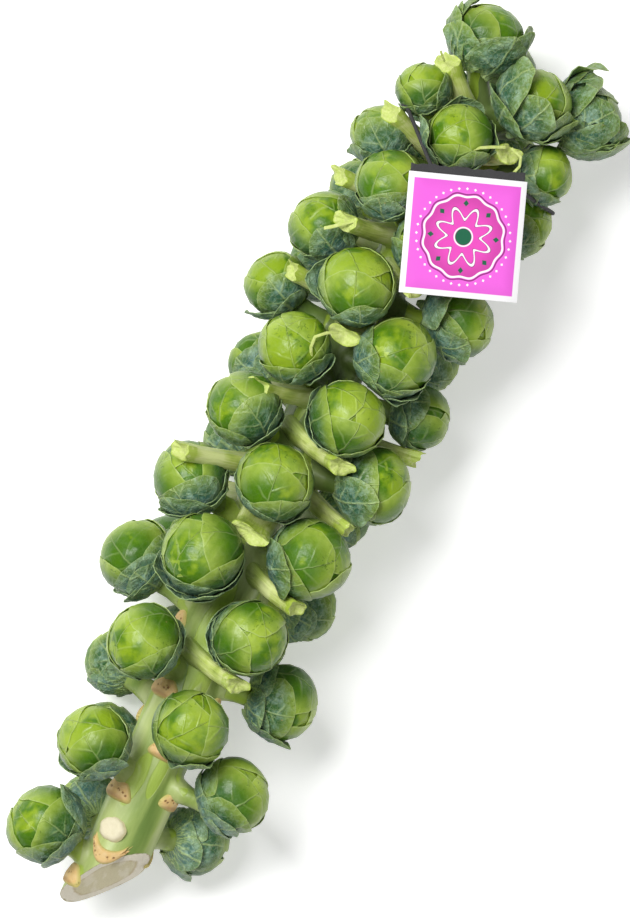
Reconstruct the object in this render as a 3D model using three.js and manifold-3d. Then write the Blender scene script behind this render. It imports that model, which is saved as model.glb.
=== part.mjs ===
// A brussels sprout stalk, cut from its root and laid down, with a square paper card strapped to it.
//
// The stalk lies along +X from its cut butt to its crown, and the surface that it rests on is z = 0.
// A place on it is a station, in mm along the stalk, and a turn about it, in degrees: 0 faces
// up, and positive turns go towards -Y. The heads follow one another in a spiral, each a golden
// angle further round than the last, and each is a bud of wrapped leaves on its own short neck.
//
// Lengths are in millimetres and angles in degrees.

import * as THREE from "three";
import { mergeVertices } from "three/addons/utils/BufferGeometryUtils.js";
import Module from "manifold-3d";

const wasm = await Module();
wasm.setup();

// ---------------------------------------------------------------- driving dimensions

const STALK = {
  start: -34,
  end: 424,
  tip: 440,
  height: 57,
  bow: 10,
  buttRadius: 16.2,
  crownRadius: 9.5,
  sides: 12,
  ringStep: 22,
  ridge: 2.2,
  ridgeLength: 46,
  ridgeWidth: 22,
};

// The butt is cut across on a slant: x = at + side * (distance towards -Y) + rise * (height).
const CUT = { at: -8, side: 1.05, rise: 0.7 };

const SPIRAL = { first: 2.6, pitch: 7.9, firstTurn: -37, step: -137.5, last: 60 };
const LOST = [2, 3, 5, 12, 58, 59];
const SNAPPED = { index: 5, station: 16, turn: -24, radius: 6.6, height: 3.2 };

// Heads that left the spiral's place as they grew: station, turn, size across, and for some
// their reach from the stalk's axis and their lean towards the crown.
const GROWN = {
  0: [3, -72, 39],
  1: [18, -150, 36],
  4: [26, 130, 35],
  7: [58, 68, 38, 46, 44],
  8: [52, -45, 37],
  9: [77, 178, 35],
  10: [80, 13, 38],
  11: [91, -128, 34],
  13: [108, -38, 38],
  15: [110, 90, 38],
  16: [143, -90, 39],
  18: [133, 23, 38],
  20: [156, 128, 34],
  21: [160, -24, 41],
  23: [181, 40, 41],
  24: [191, -60, 38],
  25: [206, 136, 33],
  26: [208, -3, 39],
  27: [217, -142, 35],
  28: [228, 62, 39],
  29: [234, -42, 37],
  31: [252, 19, 38],
  32: [258, -129, 33],
  33: [269, 90, 33],
  34: [272, -31, 36],
  36: [290, 28, 40],
  37: [297, -80, 33],
  38: [298, 126, 33],
  39: [313, -14, 39],
  41: [320, 65, 36],
  42: [333, -65, 35],
  44: [348, 13, 36],
  45: [360, -134, 33],
  46: [381, 90, 34],
  47: [367, -30, 35],
  49: [403, 72, 30],
  50: [385, -58, 30],
  52: [402, -5, 33],
  53: [421, -146, 33],
  54: [440, 82, 37, 47, 50],
  55: [416, -48, 27, 43, 44],
  57: [434, 34, 36, 36, 52],
  60: [453, -40, 37, 25, 76],
};

const HEAD = {
  reach: 42,
  extraReach: 6,
  size: 36,
  sizeDraw: 3,
  lean: 13,
  crownLean: 20,
  leanDraw: 12,
  seat: 0.88,
  pressed: 0.97,
  flattened: 1.4,
  spacing: 0.6,
  columns: 9,
  step: 1.4,
  sweep: [-12, -1, 10],
  flare: [2.4, 1.6, 0.5],
  lip: 0.9,
};

const NECK = { rootLag: 9, rootRadius: 8, topRadius: 6.2, sides: 5 };

// The cut leaf stems that still stand out below the heads: root station, tip station, turn,
// tip's distance from the stalk's axis, width across, and the root's own turn where it differs.
const STEMS = {
  18: [115, 110, 28, 50, 12, -15],
  23: [164, 157, 40, 54, 10],
  26: [194, 180, -3, 46, 20],
  28: [213, 203, 62, 47, 10],
  29: [216, 202, -47, 71, 12],
  31: [237, 230, 27, 53, 13, -25],
  33: [246, 251, 88, 57, 8],
  34: [256, 247, -33, 58, 12],
  39: [296, 289, -6, 50, 16],
  42: [309, 307, -56, 53, 12],
  44: [331, 325, 17, 48, 12],
  47: [347, 340, -34, 58, 13],
  50: [366, 360, -60, 54, 12],
  55: [392, 399, -46, 56, 14],
  57: [400, 406, 26, 50, 12],
  60: [416, 434, -40, 44, 16],
};
const STEM = {
  first: 18,
  every: 3,
  thick: 9,
  depth: 0.7,
  reach: 46,
  reachDraw: 8,
  width: 9,
  lag: 17,
  tilt: 7,
};
const SCAR = { wide: 12.5, tall: 8.5, proud: 1.6 };

const BLADE = { thick: 0.9, root: 152, sunk: 4.5 };

// Big loose leaves: head, direction in plan from the head's middle (0 = towards +X, 90 =
// towards +Y), polar angle of the tip, half spread, and how far the tip stands off.
const LOOSE_LEAVES = [
  [0, -60, 70, 40, 4],
  [4, 165, 84, 46, 4],
  [8, -130, 74, 42, 4],
  [10, -150, 70, 40, 3],
  [15, 130, 70, 44, 4],
  [23, 125, 70, 44, 5],
  [24, -140, 70, 44, 4],
  [28, 130, 66, 44, 4],
  [41, 140, 66, 44, 4],
  [42, -120, 70, 40, 4],
  [44, 150, 62, 44, 4],
  [52, 130, 60, 44, 5],
  [54, -5, 58, 52, 6],
  [54, -63, 50, 58, 5],
  [54, -125, 56, 54, 5],
  [57, 130, 26, 36, 7],
  [57, -150, 44, 42, 3],
  [60, 65, 14, 34, 8],
  [60, -70, 46, 34, 6],
  [60, 165, 60, 42, 4],
];

const CARD = { side: 60, thick: 0.8, x: 357.6, y: -17, z: 118, heading: 21.5, tilt: 12 };
const STRIP = { long: 58, wide: 5, thick: 1.2, past: 1.6, under: 0.4 };
const STRAP = {
  thick: 2,
  sides: 5,
  station: 391,
  swing: 14,
  from: 48,
  to: 316,
  corners: 17,
  ends: [[27, -25], [31, 17]],
  behind: -3.4,
};
const GAP = 0.32;
const ORIGIN = { x: 225.3, y: 1.4 };

// ---------------------------------------------------------------- helpers

const { sin, cos, sqrt, hypot, atan2, exp, floor, min, max, abs, PI } = Math;
const radians = THREE.MathUtils.degToRad;
const clamp = THREE.MathUtils.clamp;
const lerp = THREE.MathUtils.lerp;
const point = (x, y, z) => new THREE.Vector3(x, y, z);

// A number from 0 to 1 that is always the same for the same head and use.
function draw(index, use) {
  const t = sin(index * 12.9898 + use * 78.233) * 43758.5453;
  return t - floor(t);
}

function outward(turn) {
  return point(0, -sin(radians(turn)), cos(radians(turn)));
}

// The way round the stalk at a turn, square to the stalk and to the turn's outward way.
function sideways(turn) {
  return outward(turn).cross(point(1, 0, 0)).normalize();
}

function onAxis(station) {
  const along = clamp(station / STALK.tip, 0, 1);
  return point(station, STALK.bow * sin(PI * along), STALK.height);
}

function stalkRadius(station) {
  const along = clamp(station / STALK.end, 0, 1);
  return lerp(STALK.buttRadius, STALK.crownRadius, along * along);
}

// A closed geometry from shared points and triangles, turned to face outwards.
function closed(points, triangles) {
  let volume = 0;
  const cross = new THREE.Vector3();
  for (const [a, b, c] of triangles) {
    volume += points[a].dot(cross.crossVectors(points[b], points[c]));
  }
  const facing = volume < 0 ? triangles.map(([a, b, c]) => [a, c, b]) : triangles;
  const geometry = new THREE.BufferGeometry().setFromPoints(points);
  geometry.setIndex(facing.flat());
  return geometry;
}

// A skin over rings of equally many points, closed at both ends by a fan.
function loft(rings) {
  const sides = rings[0].length;
  const points = rings.flat();
  const triangles = [];
  for (let i = 0; i + 1 < rings.length; i += 1) {
    for (let j = 0; j < sides; j += 1) {
      const a = i * sides + j;
      const b = i * sides + (j + 1) % sides;
      triangles.push([a, b, b + sides], [a, b + sides, a + sides]);
    }
  }
  const last = points.length - sides;
  for (let j = 1; j + 1 < sides; j += 1) {
    triangles.push([0, j + 1, j], [last, last + j, last + j + 1]);
  }
  return closed(points, triangles);
}

// A thin plate between two grids of points, split into the same triangles on both faces.
function plate(outer, inner) {
  const rows = outer.length;
  const columns = outer[0].length;
  const at = (i, j) => i * columns + j;
  const back = rows * columns;
  const triangles = [];
  for (let i = 0; i + 1 < rows; i += 1) {
    for (let j = 0; j + 1 < columns; j += 1) {
      const [a, b, c, d] = [at(i, j), at(i, j + 1), at(i + 1, j + 1), at(i + 1, j)];
      triangles.push([a, b, c], [a, c, d]);
      triangles.push([c + back, b + back, a + back], [d + back, c + back, a + back]);
    }
  }
  const rim = [];
  for (let j = 0; j + 1 < columns; j += 1) rim.push(at(0, j));
  for (let i = 0; i + 1 < rows; i += 1) rim.push(at(i, columns - 1));
  for (let j = columns - 1; j > 0; j -= 1) rim.push(at(rows - 1, j));
  for (let i = rows - 1; i > 0; i -= 1) rim.push(at(i, 0));
  rim.forEach((a, i) => {
    const b = rim[(i + 1) % rim.length];
    triangles.push([a, a + back, b + back], [a, b + back, b]);
  });
  return closed([...outer.flat(), ...inner.flat()], triangles);
}

// ---------------------------------------------------------------- joining and cutting

function toSolid(geometry, matrix) {
  const bare = geometry.index ? geometry.clone() : mergeVertices(geometry.clone(), 1e-5);
  bare.deleteAttribute("normal");
  bare.deleteAttribute("uv");
  const merged = mergeVertices(bare, 1e-5);
  if (matrix) merged.applyMatrix4(matrix);
  return new wasm.Manifold(new wasm.Mesh({
    numProp: 3,
    vertProperties: new Float32Array(merged.attributes.position.array),
    triVerts: new Uint32Array(merged.index.array),
  }));
}

function toGeometry(solid) {
  const mesh = solid.getMesh();
  const geometry = new THREE.BufferGeometry();
  geometry.setAttribute("position", new THREE.BufferAttribute(new Float32Array(mesh.vertProperties), 3));
  geometry.setIndex(new THREE.BufferAttribute(new Uint32Array(mesh.triVerts), 1));
  return geometry;
}

// The one body that matters of a solid, with the loose scraps of cutting dropped.
function largest(solid) {
  return solid.decompose().sort((a, b) => b.volume() - a.volume())[0];
}

// ---------------------------------------------------------------- where the heads grow

function spiralPlace(index) {
  return [SPIRAL.first + SPIRAL.pitch * index, SPIRAL.firstTurn + SPIRAL.step * index];
}

function headReach(station) {
  return HEAD.reach + HEAD.extraReach * sin(PI * clamp(station / STALK.tip, 0, 1));
}

function headLean(index, station) {
  return HEAD.lean + HEAD.crownLean * station / STALK.tip + HEAD.leanDraw * (draw(index, 3) - 0.5);
}

function sproutedHeads() {
  const heads = [];
  for (let index = 0; index <= SPIRAL.last; index += 1) {
    if (LOST.includes(index)) continue;
    const [station, turn] = GROWN[index] ?? spiralPlace(index);
    const [, , size, reach, lean] = GROWN[index] ?? [];
    heads.push({
      index,
      settled: index in GROWN,
      radius: (size ?? HEAD.size + HEAD.sizeDraw * (draw(index, 1) - 0.5)) / 2,
      reach: reach ?? headReach(station) + 3 * (draw(index, 2) - 0.5),
      lean: lean ?? headLean(index, station),
      centre: null,
      station,
      turn,
    });
  }
  return heads;
}

// A head under the stalk is pressed up towards it by the surface that the stalk lies on.
function placeHead(head) {
  const room = STALK.height - head.radius + HEAD.flattened;
  const down = max(-cos(radians(head.turn)), 0.1);
  const reach = min(head.reach, room / down);
  head.centre = onAxis(head.station).addScaledVector(outward(head.turn), reach);
}

// Heads that crowd each other slide apart round the stalk.
function easeApart(heads) {
  heads.forEach(placeHead);
  for (let round = 0; round < 80; round += 1) {
    for (let i = 0; i < heads.length; i += 1) {
      for (let j = i + 1; j < heads.length; j += 1) {
        const [a, b] = [heads[i], heads[j]];
        const want = (a.radius + b.radius) * HEAD.pressed + HEAD.spacing;
        const apart = a.centre.distanceTo(b.centre);
        if (apart >= want) continue;
        const push = a.centre.clone().sub(b.centre).multiplyScalar((want - apart) / apart);
        const [yieldA, yieldB] = [a, b].map((head) => (head.settled ? 0.15 : 1));
        a.centre.addScaledVector(push, yieldA / (yieldA + yieldB));
        b.centre.addScaledVector(push, -yieldB / (yieldA + yieldB));
      }
    }
    for (const head of heads) {
      head.station = head.centre.x;
      const arm = head.centre.clone().sub(onAxis(head.station));
      head.turn = atan2(-arm.y, arm.z) * 180 / PI;
      placeHead(head);
    }
  }
}

// The head's own frame: z runs from its neck to its tip, and x faces the stalk's butt.
function frameHead(head) {
  const arm = head.centre.clone().sub(onAxis(head.station)).normalize();
  head.axis = arm.multiplyScalar(cos(radians(head.lean))).add(point(sin(radians(head.lean)), 0, 0));
  head.axis.normalize();
  const side = point(-1, 0, 0).cross(head.axis).negate().normalize();
  const front = side.clone().cross(head.axis).normalize();
  head.matrix = new THREE.Matrix4().makeBasis(front, head.axis.clone().cross(front), head.axis);
  head.matrix.setPosition(head.centre);
  head.inverse = head.matrix.clone().invert();
  head.seat = head.centre.clone().addScaledVector(head.axis, -HEAD.seat * head.radius);
}

// ---------------------------------------------------------------- the stalk

function ringAround(centre, across, up, outline) {
  return outline.map(([a, b]) => centre.clone().addScaledVector(across, a).addScaledVector(up, b));
}

function circleOutline(radius, sides, start = 0) {
  return Array.from({ length: sides }, (_, i) => {
    const angle = start + 2 * PI * i / sides;
    return [radius * cos(angle), radius * sin(angle)];
  });
}

// Each leaf's trace runs down the stalk below it as a low ridge.
function ridgeHeight(station, turn, roots) {
  let height = 0;
  for (const root of roots) {
    const below = root.station - station;
    if (below < -8 || below > STALK.ridgeLength) continue;
    const along = below < 0 ? 1 + below / 8 : 1 - below / STALK.ridgeLength;
    const round = abs(((turn - root.turn + 540) % 360 + 360) % 360 - 180) / STALK.ridgeWidth;
    height = max(height, STALK.ridge * along * exp(-round * round));
  }
  return height;
}

function mainStem(roots, grow) {
  const rings = [];
  const count = floor((STALK.end - STALK.start) / STALK.ringStep);
  for (let i = 0; i <= count; i += 1) {
    const station = lerp(STALK.start, STALK.end, i / count);
    const taper = i === count ? 0.7 : 1;
    const centre = onAxis(station);
    centre.x += i === count ? grow : 0;
    rings.push(Array.from({ length: STALK.sides }, (_, j) => {
      const turn = -360 * j / STALK.sides;
      const radius = (stalkRadius(station) + ridgeHeight(station, turn, roots)) * taper + grow;
      return centre.clone().addScaledVector(outward(turn), radius);
    }));
  }
  return loft(rings);
}

function neck(head, grow) {
  const root = onAxis(min(head.station - NECK.rootLag, STALK.end - NECK.rootRadius));
  const way = head.seat.clone().sub(root).normalize();
  const start = root.clone().addScaledVector(way, 2);
  const across = sideways(head.turn);
  const top = head.seat.clone().addScaledVector(head.axis, grow ? grow - GAP : -GAP);
  const outlines = [NECK.rootRadius, NECK.topRadius].map((r) => circleOutline(r + grow, NECK.sides));
  return loft([
    ringAround(start, across, way.clone().cross(across), outlines[0]),
    ringAround(top, across, head.axis.clone().cross(across), outlines[1]),
  ]);
}

// A cut leaf stem, flat on its crown side where it is channelled.
function leafStem([rootStation, tipStation, turn, reach, width, rootTurn = turn], grow) {
  const sunk = STEM.depth * stalkRadius(rootStation);
  const root = onAxis(rootStation).addScaledVector(outward(rootTurn), sunk);
  const tip = onAxis(tipStation).addScaledVector(outward(turn), reach);
  const way = tip.clone().sub(root).normalize();
  const across = sideways(turn);
  const crownward = across.clone().cross(way);
  const half = width / 2;
  const thick = STEM.thick / 2;
  const outline = [[half, 0.3], [0.45 * half, -1], [-0.45 * half, -1], [-half, 0.3], [0, 0.7]];
  const section = (scale) => outline.map(([a, b]) => {
    const [x, y] = [a * scale, b * thick * scale];
    const long = hypot(x, y);
    return [x * (1 + grow / long), y * (1 + grow / long)];
  });
  const end = tip.clone().addScaledVector(way, grow);
  return loft([
    ringAround(root, across, crownward, section(1.25)),
    ringAround(end, across, crownward, section(0.95)),
  ]);
}

// The pad that a fallen leaf leaves, wide at its crown side and pointed towards the butt.
function leafScar(station, turn) {
  const arm = outward(turn);
  const seat = onAxis(station).addScaledVector(arm, stalkRadius(station) - 2);
  const side = sideways(turn);
  const [wide, tall] = [SCAR.wide / 2, SCAR.tall];
  const outline = [[wide, 0], [0.4 * wide, -tall], [-0.4 * wide, -tall], [-wide, 0], [0, 0.3 * tall]];
  const ring = (out, scale) => ringAround(
    seat.clone().addScaledVector(arm, out), side, point(1, 0, 0),
    outline.map(([a, b]) => [a * scale, b * scale]),
  );
  return loft([ring(0, 1.1), ring(SCAR.proud + 3, 0.9)]);
}

function snappedNeck() {
  const arm = outward(SNAPPED.turn);
  const foot = stalkRadius(SNAPPED.station);
  const side = sideways(SNAPPED.turn);
  const ring = (out, radius) => ringAround(
    onAxis(SNAPPED.station).addScaledVector(arm, out), side, point(1, 0, 0), circleOutline(radius, 8),
  );
  return loft([
    ring(foot - 3, SNAPPED.radius + 1),
    ring(foot + SNAPPED.height - 1, SNAPPED.radius),
    ring(foot + SNAPPED.height, SNAPPED.radius - 1.2),
  ]);
}

function leafRoots(heads) {
  const roots = heads.map((head) => ({
    index: head.index,
    station: head.station - STEM.lag,
    turn: head.turn,
  }));
  roots.push({ index: SNAPPED.index, station: SNAPPED.station - 7, turn: SNAPPED.turn });
  return roots;
}

function ruledStem(root) {
  const reach = STEM.reach + STEM.reachDraw * (draw(root.index, 5) - 0.5);
  const tip = root.station - STEM.tilt * draw(root.index, 6);
  return [root.station, tip, root.turn + 6 * (draw(root.index, 7) - 0.5), reach, STEM.width];
}

function clearOfHeads(tip, heads) {
  return heads.every((head) => head.centre.distanceTo(tip) > head.radius + 1);
}

// The cut stems that there is room for, each pulled back until its tip is clear of the heads.
function cutStems(roots, heads) {
  const stems = [];
  for (const root of roots) {
    if (root.index < STEM.first) continue;
    const below = cos(radians(root.turn)) < 0 && root.index % STEM.every === 0;
    if (!(root.index in STEMS) && !below) continue;
    const stem = [...(STEMS[root.index] ?? ruledStem(root))];
    if (!(root.index in STEMS)) {
      const tipOf = () => onAxis(stem[1]).addScaledVector(outward(stem[2]), stem[3]);
      while (stem[3] > 24 && (!clearOfHeads(tipOf(), heads) || tipOf().z < 6)) stem[3] -= 2;
    }
    stems.push(stem);
  }
  return stems;
}

function stalkSolid(heads, roots, stems, grow) {
  let solid = toSolid(mainStem(roots, grow));
  for (const head of heads) solid = solid.add(toSolid(neck(head, grow)));
  for (const stem of stems) solid = solid.add(toSolid(leafStem(stem, grow)));
  if (grow) return solid;
  for (const root of roots) {
    if (root.index < STEM.first) solid = solid.add(toSolid(leafScar(root.station, root.turn)));
  }
  return solid.add(toSolid(snappedNeck())).subtract(buttCutter());
}

// A slab whose face is the slanted cut.
function buttCutter() {
  const size = 160;
  const facing = point(-1, -CUT.side, CUT.rise).normalize();
  const middle = onAxis(CUT.at).addScaledVector(facing, size / 2);
  const turn = new THREE.Quaternion().setFromUnitVectors(point(0, 0, 1), facing);
  const matrix = new THREE.Matrix4().compose(middle, turn, point(1, 1, 1));
  return toSolid(new THREE.BoxGeometry(size, size, size), matrix);
}

// ---------------------------------------------------------------- a head

function polar(theta, azimuth, radius) {
  const [t, a] = [radians(theta), radians(azimuth)];
  return point(radius * sin(t) * cos(a), radius * sin(t) * sin(a), radius * cos(t));
}

// The wrapped leaves, in two tiers of three. Each leaf's edge sweeps up and then drops to the
// next one. The inner tier's edges step up from the bud, and the outer tier's stand off it as
// thin lips round a groove.
function wrappedBud(head) {
  const { columns, step, sweep, flare, lip, seat } = HEAD;
  const full = head.radius * 1.025;
  const roll = 360 * draw(head.index, 11);
  const inner = (j) => 46 + sweep[j % 3];
  const outer = (j) => 97 + 1.3 * sweep[(j + 1) % 3];
  const stand = (j) => flare[(j + 1) % 3] * (0.6 + 0.8 * draw(head.index, 12 + floor(j / 3)));
  const rows = [
    () => [24, 0.955 * full],
    (j) => [inner(j) - 1, full - step],
    (j) => [inner(j) + 3, full],
    (j) => [outer(j) + 12, full - 0.8],
    (j) => [outer(j), full + stand(j)],
    (j) => [outer(j) + 2, full + stand(j) + lip],
  ];
  const points = [point(0, 0, 0.935 * full)];
  for (const row of rows) {
    for (let j = 0; j < columns; j += 1) {
      const [theta, radius] = row(j);
      points.push(polar(theta, roll + 360 * j / columns, radius));
    }
  }
  for (let j = 0; j < columns; j += 1) {
    const foot = polar(90, roll + 360 * j / columns, 0.46 * full);
    foot.z = -seat * head.radius;
    points.push(foot);
  }
  points.push(point(0, 0, -seat * head.radius));
  const last = points.length - 1;
  const triangles = [];
  for (let j = 0; j < columns; j += 1) {
    const next = (j + 1) % columns;
    triangles.push([0, 1 + j, 1 + next]);
    for (let i = 0; i < rows.length; i += 1) {
      const [a, b] = [1 + i * columns + j, 1 + i * columns + next];
      triangles.push([a, a + columns, b + columns], [a, b + columns, b]);
    }
    triangles.push([last, last - columns + next, last - columns + j]);
  }
  return closed(points, triangles);
}

// A leaf that stands off the bud: rooted in it near the neck, and bent round it to its tip.
function looseLeaf(head, azimuth, tip, spread, lift) {
  const stands = [-BLADE.sunk, 0.45 * lift, lift];
  const shares = [0.3, 1, 0.72];
  const grid = (side) => [0, 0.5, 1].map((along, i) => [-1, 0, 1].map((across) => {
    const theta = lerp(BLADE.root, tip, along) + 7 * across * across * along;
    const stand = stands[i] + 0.3 * lift * along * across * across + side * BLADE.thick / 2;
    return polar(theta, azimuth + across * shares[i] * spread, head.radius + stand);
  }));
  return plate(grid(1), grid(-1));
}

function leavesOf(head) {
  const own = LOOSE_LEAVES.filter(([index]) => index === head.index);
  return own.map(([, heading, ...shape]) => {
    const way = point(cos(radians(heading)), sin(radians(heading)), 0).transformDirection(head.inverse);
    return [atan2(way.y, way.x) * 180 / PI, ...shape];
  });
}

// Where two heads press together, both are flat along the plane between them.
function pressedFaces(head, heads, solid) {
  const { vertProperties, numProp } = solid.getMesh();
  const cutters = [];
  for (const other of heads) {
    if (other === head) continue;
    const way = other.centre.clone().sub(head.centre);
    const apart = way.length();
    if (apart > head.radius + other.radius + 24) continue;
    way.divideScalar(apart);
    const reach = (apart + (head.radius ** 2 - other.radius ** 2) / apart) / 2 - GAP / 2;
    const local = way.clone().transformDirection(head.inverse);
    let furthest = 0;
    for (let i = 0; i < vertProperties.length; i += numProp) {
      furthest = max(furthest, local.x * vertProperties[i] + local.y * vertProperties[i + 1]
        + local.z * vertProperties[i + 2]);
    }
    if (furthest < reach) continue;
    const size = 120;
    const turn = new THREE.Quaternion().setFromUnitVectors(point(0, 0, 1), local);
    const middle = local.clone().multiplyScalar(reach + size / 2);
    const matrix = new THREE.Matrix4().compose(middle, turn, point(1, 1, 1));
    cutters.push(toSolid(new THREE.BoxGeometry(size, size, size), matrix));
  }
  return cutters;
}

function headSolid(head, heads, cutters) {
  let solid = toSolid(wrappedBud(head));
  for (const leaf of leavesOf(head)) solid = solid.add(toSolid(looseLeaf(head, ...leaf)));
  for (const cutter of pressedFaces(head, heads, solid)) solid = solid.subtract(cutter);
  for (const geometry of cutters) solid = solid.subtract(toSolid(geometry, head.inverse));
  return largest(solid);
}

// ---------------------------------------------------------------- the card and its strap

function cardMatrix() {
  const lift = new THREE.Matrix4().makeTranslation(CARD.x, CARD.y, CARD.z);
  const heading = new THREE.Matrix4().makeRotationZ(radians(CARD.heading));
  const tilt = new THREE.Matrix4().makeRotationX(radians(CARD.tilt));
  return lift.multiply(heading).multiply(tilt);
}

// In the card's frame x runs to its top edge and y to its left edge.
function cardGeometry(grow) {
  return new THREE.BoxGeometry(CARD.side + 2 * grow, CARD.side + 2 * grow, CARD.thick + 2 * grow);
}

function stripPlace() {
  const past = CARD.side / 2 + STRIP.past;
  return point(past, 0, -(CARD.thick + STRIP.thick) / 2 - STRIP.under);
}

function stripGeometry(grow) {
  return new THREE.BoxGeometry(STRIP.wide + 2 * grow, STRIP.long + 2 * grow, STRIP.thick + 2 * grow);
}

// The strap runs round in a bent sheet, further towards the crown on its left side.
function strapStation(y) {
  return STRAP.station + STRAP.swing * THREE.MathUtils.smoothstep(y, 0, 44);
}

// It is stretched round the heads: each corner of its loop lies where two of the straight lines
// that just clear them meet. Its two ends are tucked behind the strip.
function strapCorners(heads, card) {
  const centre = onAxis(STRAP.station);
  const clearance = STRAP.thick / 2 + GAP;
  const support = (angle) => heads.reduce((far, head) => {
    const section = head.radius ** 2 - (head.centre.x - strapStation(head.centre.y)) ** 2;
    if (section <= 0) return far;
    const out = (head.centre.y - centre.y) * sin(-angle) + (head.centre.z - centre.z) * cos(angle);
    return max(far, out + sqrt(section) + clearance);
  }, 20);
  const ends = STRAP.ends.map(([along, across]) => point(along, across, STRAP.behind).applyMatrix4(card));
  const corners = [ends[0]];
  const step = radians((STRAP.to - STRAP.from) / STRAP.corners);
  for (let i = 0; i < STRAP.corners; i += 1) {
    const angle = radians(STRAP.from) + i * step;
    const [near, next] = [support(angle), support(angle + step)];
    const slide = (next - near * cos(step)) / sin(step);
    const y = centre.y - near * sin(angle) - slide * cos(angle);
    const z = centre.z + near * cos(angle) - slide * sin(angle);
    corners.push(point(strapStation(y), y, max(z, STRAP.thick / 2 + 0.2)));
  }
  return [...corners, ends[1]];
}

function strapGeometry(corners, grow) {
  const rings = corners.map((corner, i) => {
    const before = corners[max(i - 1, 0)];
    const after = corners[min(i + 1, corners.length - 1)];
    const way = after.clone().sub(before).normalize();
    const across = point(1, 0, 0).cross(way).normalize();
    const outline = circleOutline(STRAP.thick / 2 + grow, STRAP.sides);
    return ringAround(corner, across, way.clone().cross(across), outline);
  });
  return loft(rings);
}

// ---------------------------------------------------------------- the whole

function paint(color, roughness) {
  return new THREE.MeshStandardMaterial({ color, roughness, metalness: 0 });
}

const FINISH = {
  stalk: paint("#a9bd6c", 0.5),
  head: paint("#7fa52e", 0.42),
  crownHead: paint("#5d8443", 0.45),
  card: paint("#f27be6", 0.5),
  strip: paint("#26262a", 0.85),
  strap: paint("#1d1d20", 0.8),
};

function named(name, geometry, material, matrix) {
  const mesh = new THREE.Mesh(geometry, material);
  mesh.name = name;
  if (matrix) matrix.decompose(mesh.position, mesh.quaternion, mesh.scale);
  return mesh;
}

function buildBunch() {
  const bunch = new THREE.Group();
  const heads = sproutedHeads();
  easeApart(heads);
  heads.forEach(frameHead);
  const roots = leafRoots(heads);
  const stems = cutStems(roots, heads);
  const card = cardMatrix();
  const corners = strapCorners(heads, card);
  const strip = card.clone().multiply(new THREE.Matrix4().setPosition(stripPlace()));
  const floorBox = new THREE.BoxGeometry(900, 400, 100).translate(250, 0, -50);
  const grownStrap = strapGeometry(corners, GAP);
  const grownStalk = toGeometry(stalkSolid(heads, roots, stems, GAP));
  const cardSpace = cardGeometry(GAP).applyMatrix4(card);
  const stripSpace = stripGeometry(GAP).applyMatrix4(strip);
  const cutters = [grownStalk, floorBox, cardSpace, stripSpace, grownStrap];

  const stalk = largest(stalkSolid(heads, roots, stems, 0).subtract(toSolid(grownStrap))
    .subtract(toSolid(cardSpace)).subtract(toSolid(stripSpace)));
  bunch.add(named("stalk", toGeometry(stalk), FINISH.stalk));
  for (const head of heads) {
    const name = `sprout_${String(head.index).padStart(2, "0")}`;
    const material = head.index >= 54 ? FINISH.crownHead : FINISH.head;
    bunch.add(named(name, toGeometry(headSolid(head, heads, cutters)), material, head.matrix));
  }
  bunch.add(named("tag_card", cardGeometry(0), FINISH.card, card));
  bunch.add(named("tag_strip", stripGeometry(0), FINISH.strip, strip));
  bunch.add(named("strap", strapGeometry(corners, 0), FINISH.strap));
  bunch.position.set(-ORIGIN.x, -ORIGIN.y, 0);
  return bunch;
}

const group = new THREE.Group();
group.add(buildBunch());

export default group;
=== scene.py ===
"""A brussels sprout stalk lying on its side, with a square paper card strapped across its crown.

The stalk lies along +X from its cut butt to its crown, and the surface that it rests on is z = 0.
A place on it is a station, in millimetres along the stalk, and a turn about it, in degrees: 0
faces up, and positive turns go towards -Y. The heads follow one another in a spiral, and each is
a core wrapped in leaves that lie over one another, on a short neck of its own.

Shapes are worked out in millimetres and written to the meshes in metres.
"""

from __future__ import annotations

import logging
import math
from dataclasses import dataclass, field
from enum import Enum
from typing import Any, Callable, Sequence

import bpy
import numpy as np
from mathutils import Matrix, Vector

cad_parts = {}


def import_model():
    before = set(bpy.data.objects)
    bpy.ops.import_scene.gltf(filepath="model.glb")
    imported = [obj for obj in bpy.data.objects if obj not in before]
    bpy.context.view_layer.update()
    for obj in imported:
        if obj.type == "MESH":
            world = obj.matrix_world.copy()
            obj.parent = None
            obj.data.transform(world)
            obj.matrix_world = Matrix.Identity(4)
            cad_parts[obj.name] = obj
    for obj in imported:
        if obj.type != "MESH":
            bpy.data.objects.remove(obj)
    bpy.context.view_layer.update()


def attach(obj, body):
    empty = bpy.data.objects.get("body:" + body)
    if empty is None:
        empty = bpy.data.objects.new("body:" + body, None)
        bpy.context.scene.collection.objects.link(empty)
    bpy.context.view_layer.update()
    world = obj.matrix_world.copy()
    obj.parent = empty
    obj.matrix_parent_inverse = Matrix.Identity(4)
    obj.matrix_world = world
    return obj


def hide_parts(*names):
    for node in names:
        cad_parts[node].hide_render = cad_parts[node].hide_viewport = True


LOG = logging.getLogger("sprout_stalk")
Array = np.ndarray
Piece = bpy.types.Object
Colour = tuple[float, float, float]

# The place on the stalk that is the scene's own origin, the room between pieces that don't
# touch, and the way along the stalk to its crown. ORIGIN and GAP are in millimetres.
ORIGIN = np.array((225.3, 1.4, 0.0))
GAP = 0.32
ALONG = np.array((1.0, 0.0, 0.0))
MM = 0.001

# The turn, in degrees, from each leaf of a plant to the next one that grows.
GOLDEN = 137.5

# The first head whose loose leaves stand off in full, and the first that is dressed as the
# crown. The seed of a loose leaf is its number and this much more.
FIRST_OPEN = 52
FIRST_CROWN = 54
LOOSE_SEED = 900

# ------------------------------------------------------------------ small sums


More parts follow.
